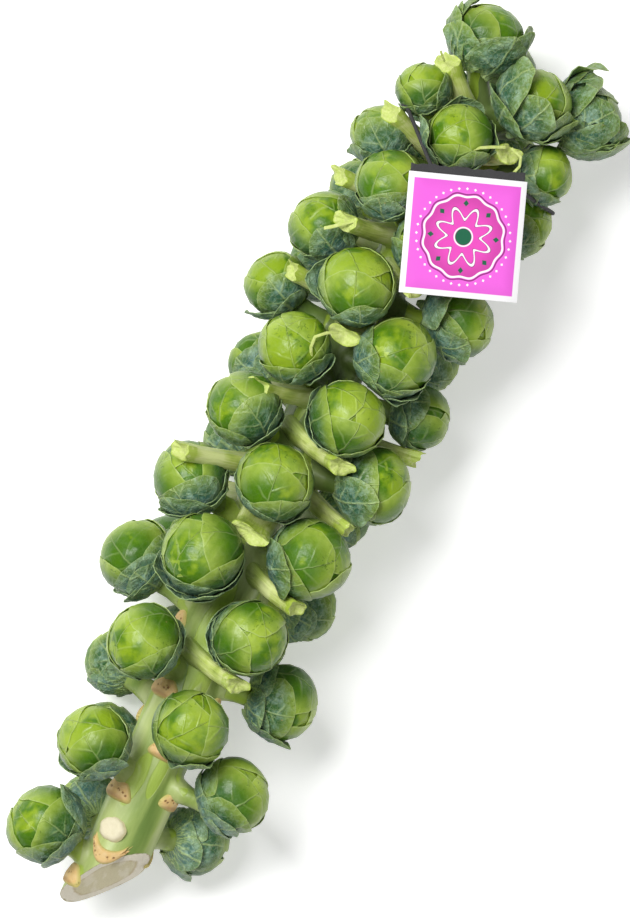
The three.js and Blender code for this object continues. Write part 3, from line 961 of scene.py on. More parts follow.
# Big loose leaves: head, direction in plan from the head's middle (0 = towards +X, 90 =
# towards +Y), polar angle of the tip, half spread, and how far the tip stands off.
LOOSE_LEAVES: tuple[tuple[float, ...], ...] = (
    (0, -60, 70, 40, 4),
    (4, 165, 84, 46, 4),
    (8, -130, 74, 42, 4),
    (10, -150, 70, 40, 3),
    (15, 130, 70, 44, 4),
    (23, 125, 70, 44, 5),
    (24, -140, 70, 44, 4),
    (28, 130, 66, 44, 4),
    (34, -120, 74, 46, 1.5),
    (36, 130, 66, 46, 1.2),
    (36, -130, 60, 46, 1.0),
    (39, -150, 62, 50, 1.2),
    (39, 62, 98, 52, 12),
    (41, 140, 66, 44, 4),
    (41, 88, 66, 66, 22),
    (42, -120, 70, 40, 4),
    (44, 150, 62, 44, 4),
    (47, -160, 62, 46, 1.5),
    (49, 160, 66, 46, 3),
    (50, -170, 72, 46, 3),
    (52, 130, 60, 44, 5),
    (52, -140, 58, 42, 2),
    (52, -60, 70, 42, 2),
    (55, -100, 60, 46, 2),
    (54, -5, 58, 52, 6),
    (54, -63, 50, 58, 5),
    (54, -125, 50, 50, 2),
    (54, 30, 48, 30, 9),
    (54, -160, 58, 46, 3),
    (57, 130, 46, 42, 9),
    (57, -150, 50, 42, 3),
    (57, 165, 50, 42, 5),
    (57, 80, 60, 46, 4),
    (57, -100, 62, 44, 4),
    (57, 148, 92, 54, 9),
    (52, 22, 80, 50, 6),
    (60, 82, 24, 46, 3.5),
    (60, -62, 56, 46, 3),
    (60, 165, 62, 42, 4),
    (60, -140, 64, 42, 4),
    (60, 125, 50, 42, 3),
    (60, -165, 76, 48, 8),
)

# Loose leaves on the side of a head that faces up: head, turn from straight up, polar angle of
# the tip, half spread, and how far the tip stands off.
TOP_LEAVES: tuple[tuple[float, ...], ...] = (
    (50, -10, 26, 64, 1.5),
    (42, 60, 60, 50, 2),
    (54, 8, 42, 46, 3),
    (54, 58, 34, 50, 2.5),
    (54, -62, 50, 56, 5),
    (60, 35, 80, 44, 3),
    (60, -40, 76, 46, 4),
)

# Holes that were eaten in the crown's loose leaves: the leaf's number, counted through both
# tables above, then each hole's place on it and radius.
HOLES: dict[int, tuple[tuple[float, float, float], ...]] = {
    26: ((0.1, 0.35, 0.14), (-0.45, 0.3, 0.08)),
    44: ((0.25, 0.35, 0.18), (-0.3, 0.05, 0.1)),
    45: ((-0.15, 0.35, 0.15), (0.4, 0.15, 0.08)),
    46: ((0.2, 0.4, 0.15),),
}


class Fold(Enum):
    """How a leaf lies on its head."""

    CAP = "cap"
    WRAP = "wrap"
    SKIRT = "skirt"
    BRACT = "bract"
    LOOSE = "loose"


@dataclass(frozen=True)
class Leaf:
    """One leaf of a head, as a round patch of the head's skin. Angles are in degrees."""

    fold: Fold
    seed: int
    azimuth: float
    middle: float
    along: float
    across: float
    tone: float
    flare: float = 0.0
    wave: float = 0.0
    stand: tuple[float, float] = (0.0, 0.0)
    holes: tuple[tuple[float, float, float], ...] = ()

    def axes(self) -> tuple[Array, Array, Array]:
        """Gives the leaf's own three ways.

        Returns:
            The way out of the head at the leaf's middle, the way right, and the way to its tip.
        """
        out = polar(self.middle, self.azimuth)
        up = polar(self.middle - 90.0, self.azimuth)
        return out, np.cross(up, out), up

    def cover(self, ways: Array) -> Array:
        """Gives how fully the leaf covers each way out of the head.

        Args:
            ways: The ways, as unit vectors in the head's own frame.

        Returns:
            The cover, from 0 to 1, for each way.
        """
        out, right, up = self.axes()
        arc = np.arccos(np.clip(ways @ out, -1.0, 1.0))
        stretch = np.degrees(arc) / np.maximum(np.sin(arc), 1e-6)
        far = np.hypot(ways @ right * stretch / self.across, ways @ up * stretch / self.along)
        return 1.0 - step(1.0, 1.3, far)


# The wrapped leaves from the innermost outwards: fold, polar angle of the middle, half length,
# half width, tone, flare of the margin and height of its waves.
TIERS: tuple[tuple[Any, ...], ...] = (
    (Fold.CAP, 30, 96, 96, 0.00, 0.0, 0.0),
    (Fold.CAP, 62, 86, 80, 0.04, 0.1, 0.0),
    (Fold.CAP, 80, 72, 70, 0.16, 0.2, 0.1),
    (Fold.WRAP, 93, 60, 66, 0.34, 0.25, 0.1),
    (Fold.WRAP, 103, 54, 62, 0.48, 0.3, 0.15),
    (Fold.WRAP, 111, 49, 60, 0.62, 0.4, 0.2),
    (Fold.WRAP, 119, 45, 58, 0.74, 0.55, 0.25),
    (Fold.SKIRT, 128, 38, 55, 0.88, 0.6, 0.3),
    (Fold.SKIRT, 140, 32, 52, 1.00, 0.7, 0.4),
)


@dataclass
class Sprout:
    """One head: a core wrapped in leaves, on its own neck. Its angles are in degrees."""

    index: int
    station: float
    turn: float
    radius: float
    reach: float
    lean: float
    settled: bool
    age: float = 0.0
    flattened: float = 1.4
    seat_depth: float = 0.88
    near_head: float = 24.0
    near_stem: float = 18.0
    open_room: float = 60.0
    softness: float = 1.3
    spacing: float = 0.46
    thick: float = 0.4
    turn_waver: float = 34.0
    middle_waver: float = 18.0
    loose_base: float = 158.0
    bract_base: float = 168.0
    bract_turns: int = 24
    bracts_apart: float = 70.0
    bract_tiers: tuple[tuple[float, int, float], ...] = ((108.0, 3, 35.0), (128.0, 2, 48.0))
    centre: Array = field(default_factory=lambda: np.zeros(3))
    frame: Array = field(default_factory=lambda: np.eye(3))
    walls: list[tuple[Array, float]] = field(default_factory=list)
    stems: list[Array] = field(default_factory=list)

    @property
    def name(self) -> str:
        """Gives the head's name, which its solid in the frame has too."""
        return f"sprout_{self.index:02d}"

    @property
    def seat(self) -> Array:
        """Gives the point where the neck meets the head."""
        return self.centre - self.frame[:, 2] * self.seat_depth * self.radius

    def settle(self) -> None:
        """Places the head at its station and turn, pressed up by the surface below if need be."""
        room = LINE.height - self.radius + self.flattened
        down = max(-math.cos(math.radians(self.turn)), 0.1)
        self.centre = LINE.at(self.station) + outward(self.turn) * min(self.reach, room / down)

    def follow(self) -> None:
        """Reads station and turn back from where the head was pushed, and settles it again."""
        self.station = float(self.centre[0])
        arm = self.centre - LINE.at(self.station)
        self.turn = math.degrees(math.atan2(-arm[1], arm[2]))
        self.settle()

    def face(self) -> None:
        """Sets the head's own frame: z from its neck to its tip, and x towards the butt."""
        arm = unit(self.centre - LINE.at(self.station))
        lean = math.radians(self.lean)
        axis = unit(arm * math.cos(lean) + ALONG * math.sin(lean))
        side = -unit(np.cross(-ALONG, axis))
        front = unit(np.cross(side, axis))
        self.frame = np.stack([front, np.cross(axis, front), axis], 1)

    def hem_in(self, heads: Sequence["Sprout"]) -> None:
        """Finds the planes that the head is pressed flat against: its neighbours' and the floor's.

        Args:
            heads: All the heads.
        """
        self.walls = [(self.frame.T @ np.array((0.0, 0.0, -1.0)), self.centre[2] - 0.1)]
        for other in heads:
            way = other.centre - self.centre
            apart = float(np.linalg.norm(way))
            if other is self or apart > self.radius + other.radius + self.near_head:
                continue
            reach = (apart + (self.radius**2 - other.radius**2) / apart) / 2.0 - GAP / 2.0
            self.walls.append((self.frame.T @ (way / apart), reach))

    def meet(self, spots: Sequence[Array]) -> None:
        """Finds the ways to the leaf stems and scars close by, which no small leaf may hide.

        Args:
            spots: Points on the leaf stems, on the scars and on the bare butt.
        """
        for spot in spots:
            way = spot - self.centre
            if np.linalg.norm(way) < self.radius + self.near_stem:
                self.stems.append(self.frame.T @ unit(way))

    def room(self, ways: Array) -> Array:
        """Gives how far out each way is free before any wall.

        Args:
            ways: The ways, as unit vectors in the head's own frame.

        Returns:
            The free length for each way.
        """
        free = np.full(len(ways), self.open_room)
        for normal, reach in self.walls:
            free = np.minimum(free, self.reach_of(normal, reach, ways))
        return free

    def reach_of(self, normal: Array, reach: float, ways: Array) -> Array:
        """Gives how far out each way meets one wall.

        Args:
            normal: The way to the wall.
            reach: How far it is.
            ways: The ways, as unit vectors in the head's own frame.

        Returns:
            The length for each way, or a long one for a way that passes the wall by.
        """
        lean = ways @ normal
        return np.where(lean > 0.05, reach / np.maximum(lean, 0.05), self.open_room)

    def skin(self, ways: Array) -> Array:
        """Gives the head's own outer radius: round, a little flat at its tip, and pressed.

        Args:
            ways: The ways, as unit vectors in the head's own frame.

        Returns:
            The radius for each way.
        """
        theta = np.degrees(np.arccos(np.clip(ways[:, 2], -1.0, 1.0)))
        round_it = np.arctan2(ways[:, 1], ways[:, 0])
        start = 6.3 * draw(self.index, 51)
        lumps = 0.014 * np.sin(2 * round_it + start) + 0.010 * np.sin(3 * round_it - 2 * start)
        lumps = lumps * step(0.0, 50.0, theta) + 0.012 * np.sin(theta * 0.09 + start)
        flat_tip, flat_base = 0.05 * step(60.0, 0.0, theta), 0.06 * step(140.0, 175.0, theta)
        out = self.radius * (1.01 - flat_tip - flat_base + lumps)
        for normal, reach in self.walls:
            wall = self.reach_of(normal, reach, ways)
            share = np.clip(0.5 + 0.5 * (wall - out) / self.softness, 0.0, 1.0)
            out = wall * (1.0 - share) + out * share - self.softness * share * (1.0 - share)
        return out

    def wrapped(self) -> list[Leaf]:
        """Lists the wrapped leaves, each drawn a little differently.

        Returns:
            The leaves, from the innermost outwards.
        """
        leaves = []
        start = 360.0 * draw(self.index, 11)
        for layer, (fold, middle, along, across, tone, flare, wave) in enumerate(TIERS):
            seed = self.index * 31 + layer
            azimuth = start + GOLDEN * layer + self.turn_waver * (draw(seed, 22) - 0.5)
            pull = self.middle_waver * (draw(seed, 21) - 0.5) * min(layer, 3) / 3.0
            drop = 10.0 - 14.0 * math.cos(math.radians(azimuth)) if layer > 2 else 0.0
            leaves.append(
                Leaf(
                    fold,
                    seed,
                    azimuth,
                    middle=middle + pull + drop / 2.0,
                    along=along * (0.94 + 0.12 * draw(seed, 23)) - drop / 2.0,
                    across=across * (0.92 + 0.16 * draw(seed, 24)),
                    tone=tone + (0.12 + 0.3 * tone) * (draw(seed, 25) - 0.5) + self.age,
                    flare=flare * (0.4 + 1.2 * draw(seed, 27)),
                    wave=wave,
                )
            )
        return leaves

    def loose(self) -> list[Leaf]:
        """Lists the leaves that stand off the head.

        Returns:
            The leaves.
        """
        leaves = []
        up = self.frame.T @ np.array((0.0, 0.0, 1.0))
        for number, (index, side, tip, spread, lift) in enumerate(LOOSE_LEAVES + TOP_LEAVES):
            if index != self.index:
                continue
            a = math.radians(side)
            way = self.frame.T @ np.array((math.cos(a), math.sin(a), 0.0))
            azimuth = math.degrees(math.atan2(way[1], way[0]))
            if number >= len(LOOSE_LEAVES):
                azimuth = math.degrees(math.atan2(up[1], up[0])) + side
            leaves.append(
                Leaf(
                    Fold.LOOSE,
                    LOOSE_SEED + number,
                    azimuth,
                    middle=(self.loose_base + tip) / 2.0,
                    along=(self.loose_base - tip) / 2.0,
                    across=spread * 0.92,
                    tone=0.70 + 0.36 * draw(number, 28),
                    flare=0.8,
                    wave=0.7 + 0.2 * lift,
                    stand=(0.4, lift if self.index >= FIRST_OPEN else 0.6 * lift),
                    holes=HOLES.get(number, ()),
                )
            )
        return leaves

    def bracts(self, level: float, count: int, spread: float) -> list[Leaf]:
        """Lists small leaves at the neck, which spread where there is most room for them.

        Args:
            level: The polar angle at which they are set apart, and where their tips come to.
            count: How many there may be.
            spread: Their half width.

        Returns:
            The leaves.
        """
        turns = [360.0 / self.bract_turns * i for i in range(self.bract_turns)]
        ways = np.stack([polar(level + 14.0, turn) for turn in turns])
        score = np.minimum(self.room(ways), self.radius + 14.0)
        score = score + np.array([5.0 * draw(self.index * 7 + i, level) for i in range(self.bract_turns)])
        score = score + 5.0 * np.cos(np.radians(turns))
        for stem in self.stems:
            score = score - 40.0 * step(0.6, 0.85, ways @ stem)
        chosen: list[int] = []
        for i in np.argsort(-score):
            free = all(apart_by(turns[i], turns[k]) > self.bracts_apart for k in chosen)
            if len(chosen) < count and score[i] > self.radius + 2.0 and free:
                chosen.append(int(i))
        leaves = []
        for number, i in enumerate(chosen):
            seed = 2000 + self.index * 5 + number + int(level) * 97
            towards_butt = step(0.2, 1.0, math.cos(math.radians(turns[i])))
            tip = level + self.middle_waver * (draw(seed, 43) - 0.5) - 16.0 * towards_butt
            leaves.append(
                Leaf(
                    Fold.BRACT,
                    seed,
                    turns[i],
                    middle=(self.bract_base + tip) / 2.0,
                    along=(self.bract_base - tip) / 2.0,
                    across=spread * (0.85 + 0.3 * draw(seed, 44)),
                    tone=0.85 + 0.3 * draw(seed, 45),
                    flare=0.5,
                    wave=0.45,
                    stand=(-0.6, 1.0 + 3.6 * draw(seed, 42)),
                )
            )
        return leaves

    def shape(self, leaf: Leaf, over: Sequence[Leaf], x: Array, y: Array) -> tuple[Array, ...]:
        """Bends a flat round leaf onto the head.

        Args:
            leaf: The leaf.
            over: The leaves that lie over it.
            x: Each point's place across the flat leaf, from -1 to 1.
            y: Each point's place along it, from -1 at the base to 1 at the tip.

        Returns:
            The points and their layout across and along, all in millimetres, and their tone, which holds the
            leaf's layer and painted shade towards the neck.
        """
        rim, turn = np.hypot(x, y), np.arctan2(x, y)
        ways_of = [2.0 * math.pi * draw(leaf.seed, use) for use in (31, 32, 33, 34)]
        lobes = 1.0 + 0.05 * np.cos(2 * turn + ways_of[0]) + 0.035 * np.cos(3 * turn + ways_of[1])
        lobes = lobes + 0.012 * np.cos(11 * turn + ways_of[2]) * step(0.7, 1.0, rim)
        point = 0.02 if leaf.fold is Fold.BRACT else 0.04
        lobes = lobes + point * np.exp(-((turn / 0.3) ** 2)) * step(0.6, 1.0, rim)
        right = leaf.across * x * lobes * (1.0 - 0.42 * step(-0.2, -1.0, y))
        up = leaf.along * y * lobes
        arc = np.hypot(right, up)
        ratio = np.where(arc > 1e-6, np.sin(np.radians(arc)) / np.maximum(arc, 1e-6), math.pi / 180.0)
        out, side, tipward = leaf.axes()
        ways = np.cos(np.radians(arc))[:, None] * out + (right * ratio)[:, None] * side
        ways = ways + (up * ratio)[:, None] * tipward
        lie, free = self.skin(ways), self.room(ways) - 0.12
        clear = np.ones(len(x))
        for other in over:
            cover = other.cover(ways)
            lie = lie - self.spacing * cover
            clear = clear * (1.0 - cover)
        part = np.clip(np.cos(turn - 1.3 * math.sin(ways_of[1])), 0.0, 1.0) ** 2
        lift = leaf.flare * step(0.5, 1.0, rim) ** 1.5 * (0.12 + 0.88 * part)
        lift = lift + leaf.wave * np.sin(4.0 * turn + ways_of[3]) * step(0.6, 1.0, rim)
        lift = lift + 0.4 * leaf.wave * np.sin(7.0 * turn + ways_of[2]) * step(0.75, 1.0, rim)
        pucker = 0.32 * np.sin(right * 0.24 + ways_of[0]) * np.sin(up * 0.21 + ways_of[1])
        stand = leaf.stand[0] + (leaf.stand[1] - leaf.stand[0]) * np.clip((y + 1) / 2, 0, 1) ** 1.5
        far = lie + stand + clear * (np.maximum(lift, -0.2) + pucker * (0.4 + leaf.tone))
        far = np.minimum(far, np.maximum(free - 0.3 * len(over), lie))
        flat = math.radians(1.0) * self.radius
        theta = np.degrees(np.arccos(np.clip(ways[:, 2], -1.0, 1.0)))
        # Painted shade: the tone darkens the leaf towards the head's neck, on top of its own layer tone.
        tone = 0.68 * leaf.tone + 0.32 * step(35.0, 135.0, theta)
        points = self.centre + (ways * far[:, None]) @ self.frame.T
        return points, right * flat, (up + leaf.along) * flat, tone

    def build(self, blank: "Blank", fine: "Blank", card: "Card") -> Piece:
        """Makes the head.

        Args:
            blank: The flat round leaf that the wrapped leaves are copies of.
            fine: A finer one, for the leaves that stand off.
            card: The card that presses on the heads under it.

        Returns:
            The head, as one mesh.
        """
        leaves = self.wrapped()
        core = self.core(leaves)
        shells = []
        for layer, leaf in enumerate(leaves):
            shells.append(self.blade(blank, card, leaf, leaves[layer + 1 :]))
        small = [leaf for tier in self.bract_tiers for leaf in self.bracts(*tier)]
        for leaf in small + self.loose():
            shells.append(self.blade(fine, card, leaf, ()))
        wrapped = joined(shells, "leaves")
        finish_with(wrapped, "SOLIDIFY", thickness=self.thick * MM, offset=-1.0)
        place(core, card.pressed(places_of(core)))
        head = joined([core, wrapped], self.name + "_leaves")
        round_off(head, 50.0)
        return head

    def blade(self, blank: "Blank", card: "Card", leaf: Leaf, over: Sequence[Leaf]) -> Piece:
        """Makes one leaf as a bent copy of the flat one.

        Args:
            blank: The flat round leaf.
            card: The card that presses on the heads under it.
            leaf: The leaf.
            over: The leaves that lie over it.

        Returns:
            The leaf, still without its thickness.
        """
        made = copy_of(blank.piece)
        x, y = blank.x.copy(), blank.y.copy()
        for hole_x, hole_y, size in leaf.holes:
            off_x, off_y = x - hole_x, y - hole_y
            far = np.maximum(np.hypot(off_x, off_y), 1e-4)
            push = np.where(far < 1.5 * size, (size + far / 3.0) / far, 1.0)
            x, y = hole_x + off_x * push, hole_y + off_y * push
        points, across, along, tone = self.shape(leaf, over, x, y)
        place(made, card.pressed(points))
        lay_out(made, across, along)
        note(made, "tone", tone)
        note(made, "edge", np.hypot(blank.x, blank.y))
        if leaf.holes:
            flat = np.stack([x, y], 1)
            for face in made.data.polygons:
                middle = flat[list(face.vertices)].mean(0)
                face.select = any(math.dist(middle, (a, b)) < 0.93 * size for a, b, size in leaf.holes)
            self.cut_out(made)
        return made

    def cut_out(self, piece: Piece) -> None:
        """Deletes the selected faces of a leaf.

        Args:
            piece: The leaf.
        """
        only(piece)
        bpy.ops.object.mode_set(mode="EDIT")
        bpy.ops.mesh.delete(type="FACE")
        bpy.ops.object.mode_set(mode="OBJECT")

    def core(self, leaves: Sequence[Leaf]) -> Piece:
        """Makes the ball of young leaves inside, which shows only between the others.

        Args:
            leaves: The wrapped leaves that lie over it.

        Returns:
            The ball.
        """
        made = added("core", bpy.ops.mesh.primitive_ico_sphere_add, subdivisions=2, radius=1.0)
        ways = points_of(made)
        ways = ways / np.linalg.norm(ways, axis=1)[:, None]
        far = self.skin(ways) - 0.5
        for leaf in leaves:
            far = far - self.spacing * leaf.cover(ways)
        place(made, self.centre + (ways * far[:, None]) @ self.frame.T)
        lay_out(made, ways[:, 0] * 9.0 + 3.0, ways[:, 1] * 9.0 + 20.0)
        note(made, "tone", 0.35)
        note(made, "edge", 0.0)
        return made


@dataclass
class Blank:
    """The flat round leaf, one unit in radius, that every leaf of a head is a copy of."""

    sides: int = 30
    insets: tuple[float, ...] = (0.04, 0.09, 0.14, 0.2, 0.25)
    piece: Piece | None = None
    x: Array = field(default_factory=lambda: np.zeros(0))
    y: Array = field(default_factory=lambda: np.zeros(0))

    def build(self) -> None:
        """Adds a disc, insets its rings from the rim inwards and closes them on a middle point."""
        circle = bpy.ops.mesh.primitive_circle_add
        self.piece = added("leaf_blank", circle, vertices=self.sides, radius=1.0, fill_type="NGON")
        rings = [lambda depth=depth: bpy.ops.mesh.inset(thickness=depth) for depth in self.insets]
        editing(self.piece, *rings, lambda: bpy.ops.mesh.poke())
        flat = points_of(self.piece)
        self.x, self.y = flat[:, 0], flat[:, 1]

    def discard(self) -> None:
        """Removes the blank once its copies are made."""
        bpy.data.objects.remove(self.piece)


@dataclass
class Spiral:
    """All the heads, in the order that they grew."""

    first: float = 2.6
    pitch: float = 7.9
    first_turn: float = -37.0
    last: int = 60
    lost: tuple[int, ...] = (2, 3, 5, 12, 58, 59)
    size: float = 36.0
    reach: float = 42.0
    lean: float = 13.0
    pressed: float = 0.97
    gap: float = 0.6
    passes: int = 80
    held: float = 0.15
    heads: list[Sprout] = field(default_factory=list)

    def sprout(self) -> None:
        """Grows the heads, lets those that crowd each other slide apart, and turns each to face out."""
        for index in range(self.last + 1):
            if index in self.lost:
                continue
            grown = GROWN.get(index, ())
            ruled = (self.first + self.pitch * index, self.first_turn - GOLDEN * index)
            station, turn = grown[:2] or ruled
            size = grown[2] if grown else self.size + 3.0 * (draw(index, 1) - 0.5)
            swell = self.reach + 6.0 * math.sin(math.pi * min(max(station / LINE.reach, 0.0), 1.0))
            tilt = self.lean + 20.0 * station / LINE.reach + 12.0 * (draw(index, 3) - 0.5)
            reach = grown[3] if len(grown) > 3 else swell + 3.0 * (draw(index, 2) - 0.5)
            lean = grown[4] if len(grown) > 4 else tilt
            age = OLD.get(index, 0.16 * (draw(index, 26) - 0.5))
            self.heads.append(Sprout(index, station, turn, size / 2.0, reach, lean, bool(grown), age))
        self.ease_apart()
        for head in self.heads:
            head.face()
        for head in self.heads:
            head.hem_in(self.heads)

    def ease_apart(self) -> None:
        """Slides crowded heads apart round the stalk."""
        for head in self.heads:
            head.settle()
        for _ in range(self.passes):
            for i, a in enumerate(self.heads):
                for b in self.heads[i + 1 :]:
                    want = (a.radius + b.radius) * self.pressed + self.gap
                    if abs(a.centre[0] - b.centre[0]) >= want:
                        continue
                    way = a.centre - b.centre
                    apart = math.sqrt(float(way @ way))
                    if apart >= want:
                        continue
                    push = way * (want - apart) / apart
                    give_a, give_b = (self.held if one.settled else 1.0 for one in (a, b))
                    a.centre = a.centre + push * give_a / (give_a + give_b)
                    b.centre = b.centre - push * give_b / (give_a + give_b)
            for head in self.heads:
                head.follow()

    def build(self, card: "Card") -> None:
        """Makes and dresses every head.

        Args:
            card: The card that presses on the heads under it.
        """
        blank = Blank()
        blank.build()
        fine = Blank(38, (0.04, 0.08, 0.12, 0.16, 0.2, 0.2))
        fine.build()
        leaf = LeafFinish("sprout_leaf").material()
        crown = LeafFinish(
            "crown_leaf", lit=srgb(84, 126, 14), deep=srgb(56, 96, 40), base=srgb(56, 94, 70), darker=0.02
        ).material()
        for head in self.heads:
            finish, slot = (crown, "crown_leaf") if head.index >= FIRST_CROWN else (leaf, "leaf")
            dress(head.build(blank, fine, card), finish, head.name)
        blank.discard()
        fine.discard()


def dress(piece: Piece, finish: bpy.types.Material, node: str | None = None) -> None:
    """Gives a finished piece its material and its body.

    Args:
        piece: The piece.
        finish: Its material.
        node: The frame's solid that it stands for, if there is one.
    """
    if not piece.data.materials:
        piece.data.materials.append(finish)
    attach(piece, "root")
    if node:
        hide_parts(node)
    LOG.info("%s: %d faces", piece.name, len(piece.data.polygons))


# ------------------------------------------------------------------ the stalk

# The cut leaf stems that still stand out below the heads: root station, tip station, turn,
# tip's distance from the stalk's axis, width across, and the turn of the root.
STEMS: dict[int, tuple[float, float, float, float, float, float]] = {
    18: (115, 110, 28, 50, 12, -15),
    23: (164, 157, 40, 54, 10, 40),
    26: (194, 180, -3, 46, 20, -3),
    28: (213, 203, 62, 47, 10, 62),
    29: (216, 202, -47, 71, 12, -47),
    31: (237, 230, 27, 53, 13, -25),
    33: (246, 251, 88, 57, 8, 88),
    34: (256, 247, -33, 58, 12, -33),
    39: (296, 289, -6, 50, 16, -6),
    42: (309, 307, -56, 53, 12, -56),
    44: (331, 325, 17, 48, 12, 17),
    47: (347, 340, -34, 58, 13, -34),
    50: (366, 360, -60, 54, 12, -60),
    55: (392, 399, -46, 56, 14, -46),
    57: (400, 406, 26, 50, 12, 26),
    60: (416, 434, -40, 44, 16, -40),
}

# Strands of skin that peel from cut ends: half width, then station, place across and height.
STRANDS: tuple[tuple[float, tuple[tuple[float, float, float], ...]], ...] = (
    (0.8, ((407, -16, 109), (404, -10, 111), (401, -5, 113), (397, 0, 113), (393.5, 4, 112))),
    (
        0.7,
        ((408, -19, 108), (406, -25, 110), (401.5, -26.5, 111), (396.5, -25, 110), (395, -22.5, 109)),
    ),
    (
        0.8,
        (
            (288, 17, 110),
            (285.5, 22, 114),
            (281, 26.5, 115.5),
            (275.5, 26, 114.5),
            (271, 23.5, 110),
            (268, 20.5, 105),
        ),
    ),
    (0.9, ((341, 35, 106), (337.5, 39, 107), (334, 43, 106), (331.5, 46.5, 103))),
    (0.6, ((432.5, 30, 96), (433.6, 31.4, 98), (434.8, 32.8, 99.5), (436, 34, 100.5))),
)


@dataclass
class Root:
    """The place where a leaf grew on the stalk, just below its head."""

    index: int
    station: float
    turn: float


@dataclass
class Stalk:
    """The stalk with its necks, leaf stems, leaf scars and slanted cut."""

    heads: list[Sprout]
    sides: int = 72
    ring_step: float = 3.0
    ridge: float = 2.2
    ridge_rise: float = 8.0
    ridge_length: float = 46.0
    ridge_width: float = 22.0
    neck_lag: float = 9.0
    neck_stop: float = 8.0
    neck_sides: int = 20
    neck_radii: tuple[tuple[float, float], ...] = (
        (0.0, 0.02),
        (0.0, 9.0),
        (0.3, 8.2),
        (0.5, 6.9),
        (0.75, 5.8),
        (1.0, 6.3),
        (1.0, 0.02),
    )
    voxel: float = 1.3
    cut_at: float = -8.0
    cut_facing: tuple[float, float, float] = (-1.0, -1.05, 0.7)
    rim_depth: float = 16.0
    lag: float = 17.0
    first_stem: int = 18
    every: int = 3
    ruled_reach: float = 46.0
    least_reach: float = 24.0
    ruled_width: float = 9.0
    stem_sides: int = 28
    stem_rows: int = 22
    stem_half: float = 5.6
    torn_from: float = 13.0
    strand_aside: tuple[float, float, float] = (-0.2, -0.1, -1.0)
    pad_size: tuple[float, float, float] = (8.4, 5.2, 3.2)
    pad_thick: float = 1.2
    lost_head: int = 5
    lost_root: tuple[float, float] = (5.5, -19.0)
    lost_pad: tuple[float, float, float] = (11.5, 2.8, -12.0)
    knob_at: tuple[float, float] = (16.0, -24.0)
    knob_size: tuple[float, float] = (6.6, 5.6)
    roots: list[Root] = field(default_factory=list)

    def find_roots(self) -> None:
        """Finds where the leaves grew: a little below each head, and below the snapped neck."""
        self.roots = [Root(head.index, head.station - self.lag, head.turn) for head in self.heads]
        self.roots.append(Root(self.lost_head, *self.lost_root))

    def ridge_height(self, station: float, turns: Array) -> Array:
        """Gives the height of the leaf traces that run down the stalk.

        Args:
            station: Where along the stalk.
            turns: The turns about it.

        Returns:
            The height at each turn.
        """
        height = np.zeros(len(turns))
        for root in self.roots:
            below = root.station - station
            if below < -self.ridge_rise or below > self.ridge_length:
                continue
            along = 1.0 + below / self.ridge_rise if below < 0.0 else 1.0 - below / self.ridge_length
            apart = apart_by(turns, root.turn) / self.ridge_width
            height = np.maximum(height, self.ridge * along * np.exp(-apart * apart))
        return height

    def trunk(self) -> Piece:
        """Makes the bare stem as one skin over rings.

        Returns:
            The stem.
        """
        count = int((LINE.end - LINE.start) / self.ring_step)
        turns = -360.0 * np.arange(self.sides) / self.sides
        outs = np.stack([outward(turn) for turn in turns])
        rings = []
        for i in range(count + 1):
            station = LINE.start + (LINE.end - LINE.start) * i / count
            taper = math.sqrt(max(1.0 - max(0.0, (i / count - 0.985) / 0.015) ** 2, 0.0))
            radius = (LINE.radius(station) + self.ridge_height(station, turns)) * max(taper, 0.001)
            rings.append(LINE.at(station) + outs * radius[:, None])
        rings.insert(0, np.repeat(LINE.at(LINE.start)[None], self.sides, 0))
        return tube("trunk", np.stack(rings))[0]

    def neck(self, head: Sprout) -> Piece:
        """Makes a head's neck, flared where it leaves the stalk.

        Args:
            head: The head.

        Returns:
            The neck.
        """
        root = LINE.at(min(head.station - self.neck_lag, LINE.end - self.neck_stop))
        way = unit(head.seat - root)
        start, top = root + way * 2.0, head.seat + head.frame[:, 2] * 1.2
        across = sideways(head.turn)
        rings = []
        for share, radius in self.neck_radii:
            middle = start + (top - start) * share
            lean = unit(way * (1.0 - share) + head.frame[:, 2] * share)
            rings.append(middle + ring_of(across, np.cross(lean, across), self.neck_sides) * radius)
        return tube("neck", np.stack(rings))[0]

    def body(self) -> Piece:
        """Fuses the stem and the necks into one skin, and saws off the butt.

        Returns:
            The body, with its two finishes.
        """
        parts = [self.trunk()] + [self.neck(head) for head in self.heads]
        made = joined(parts, "stalk_body")
        finish_with(made, "REMESH", mode="VOXEL", voxel_size=self.voxel * MM)
        finish_with(made, "SMOOTH", factor=0.5, iterations=4)
        cut = (LINE.at(self.cut_at) - ORIGIN) * MM
        facing = unit(np.array(self.cut_facing))
        editing(
            made,
            lambda: bpy.ops.mesh.bisect(
                plane_co=tuple(cut), plane_no=tuple(facing), use_fill=True, clear_outer=True
            ),
            lambda: bpy.ops.mesh.poke(),
        )
        points = places_of(made)
        axis = np.stack([LINE.at(x) for x in points[:, 0]])
        arm = points - axis
        off = np.hypot(arm[:, 1], arm[:, 2]) - np.array([LINE.radius(x) for x in points[:, 0]])
        note(made, "trace", step(0.2, 1.8, off) * (1.0 - step(4.0, 9.0, off)))
        inside = np.abs((points_of(made) - cut) @ facing) < 1e-5
        inside[inside] = off[inside] < -6.0
        note(made, "from_rim", np.where(inside, self.rim_depth, 0.0))
        made.data.materials.append(StemFinish().material())
        made.data.materials.append(CutFinish().material())
        for face in made.data.polygons:
            on_cut = abs(float((np.array(face.center) - cut) @ facing)) < 2e-4
            face.material_index = int(on_cut and face.normal.dot(Vector(facing)) > 0.9)
        round_off(made, 55.0)
        return made

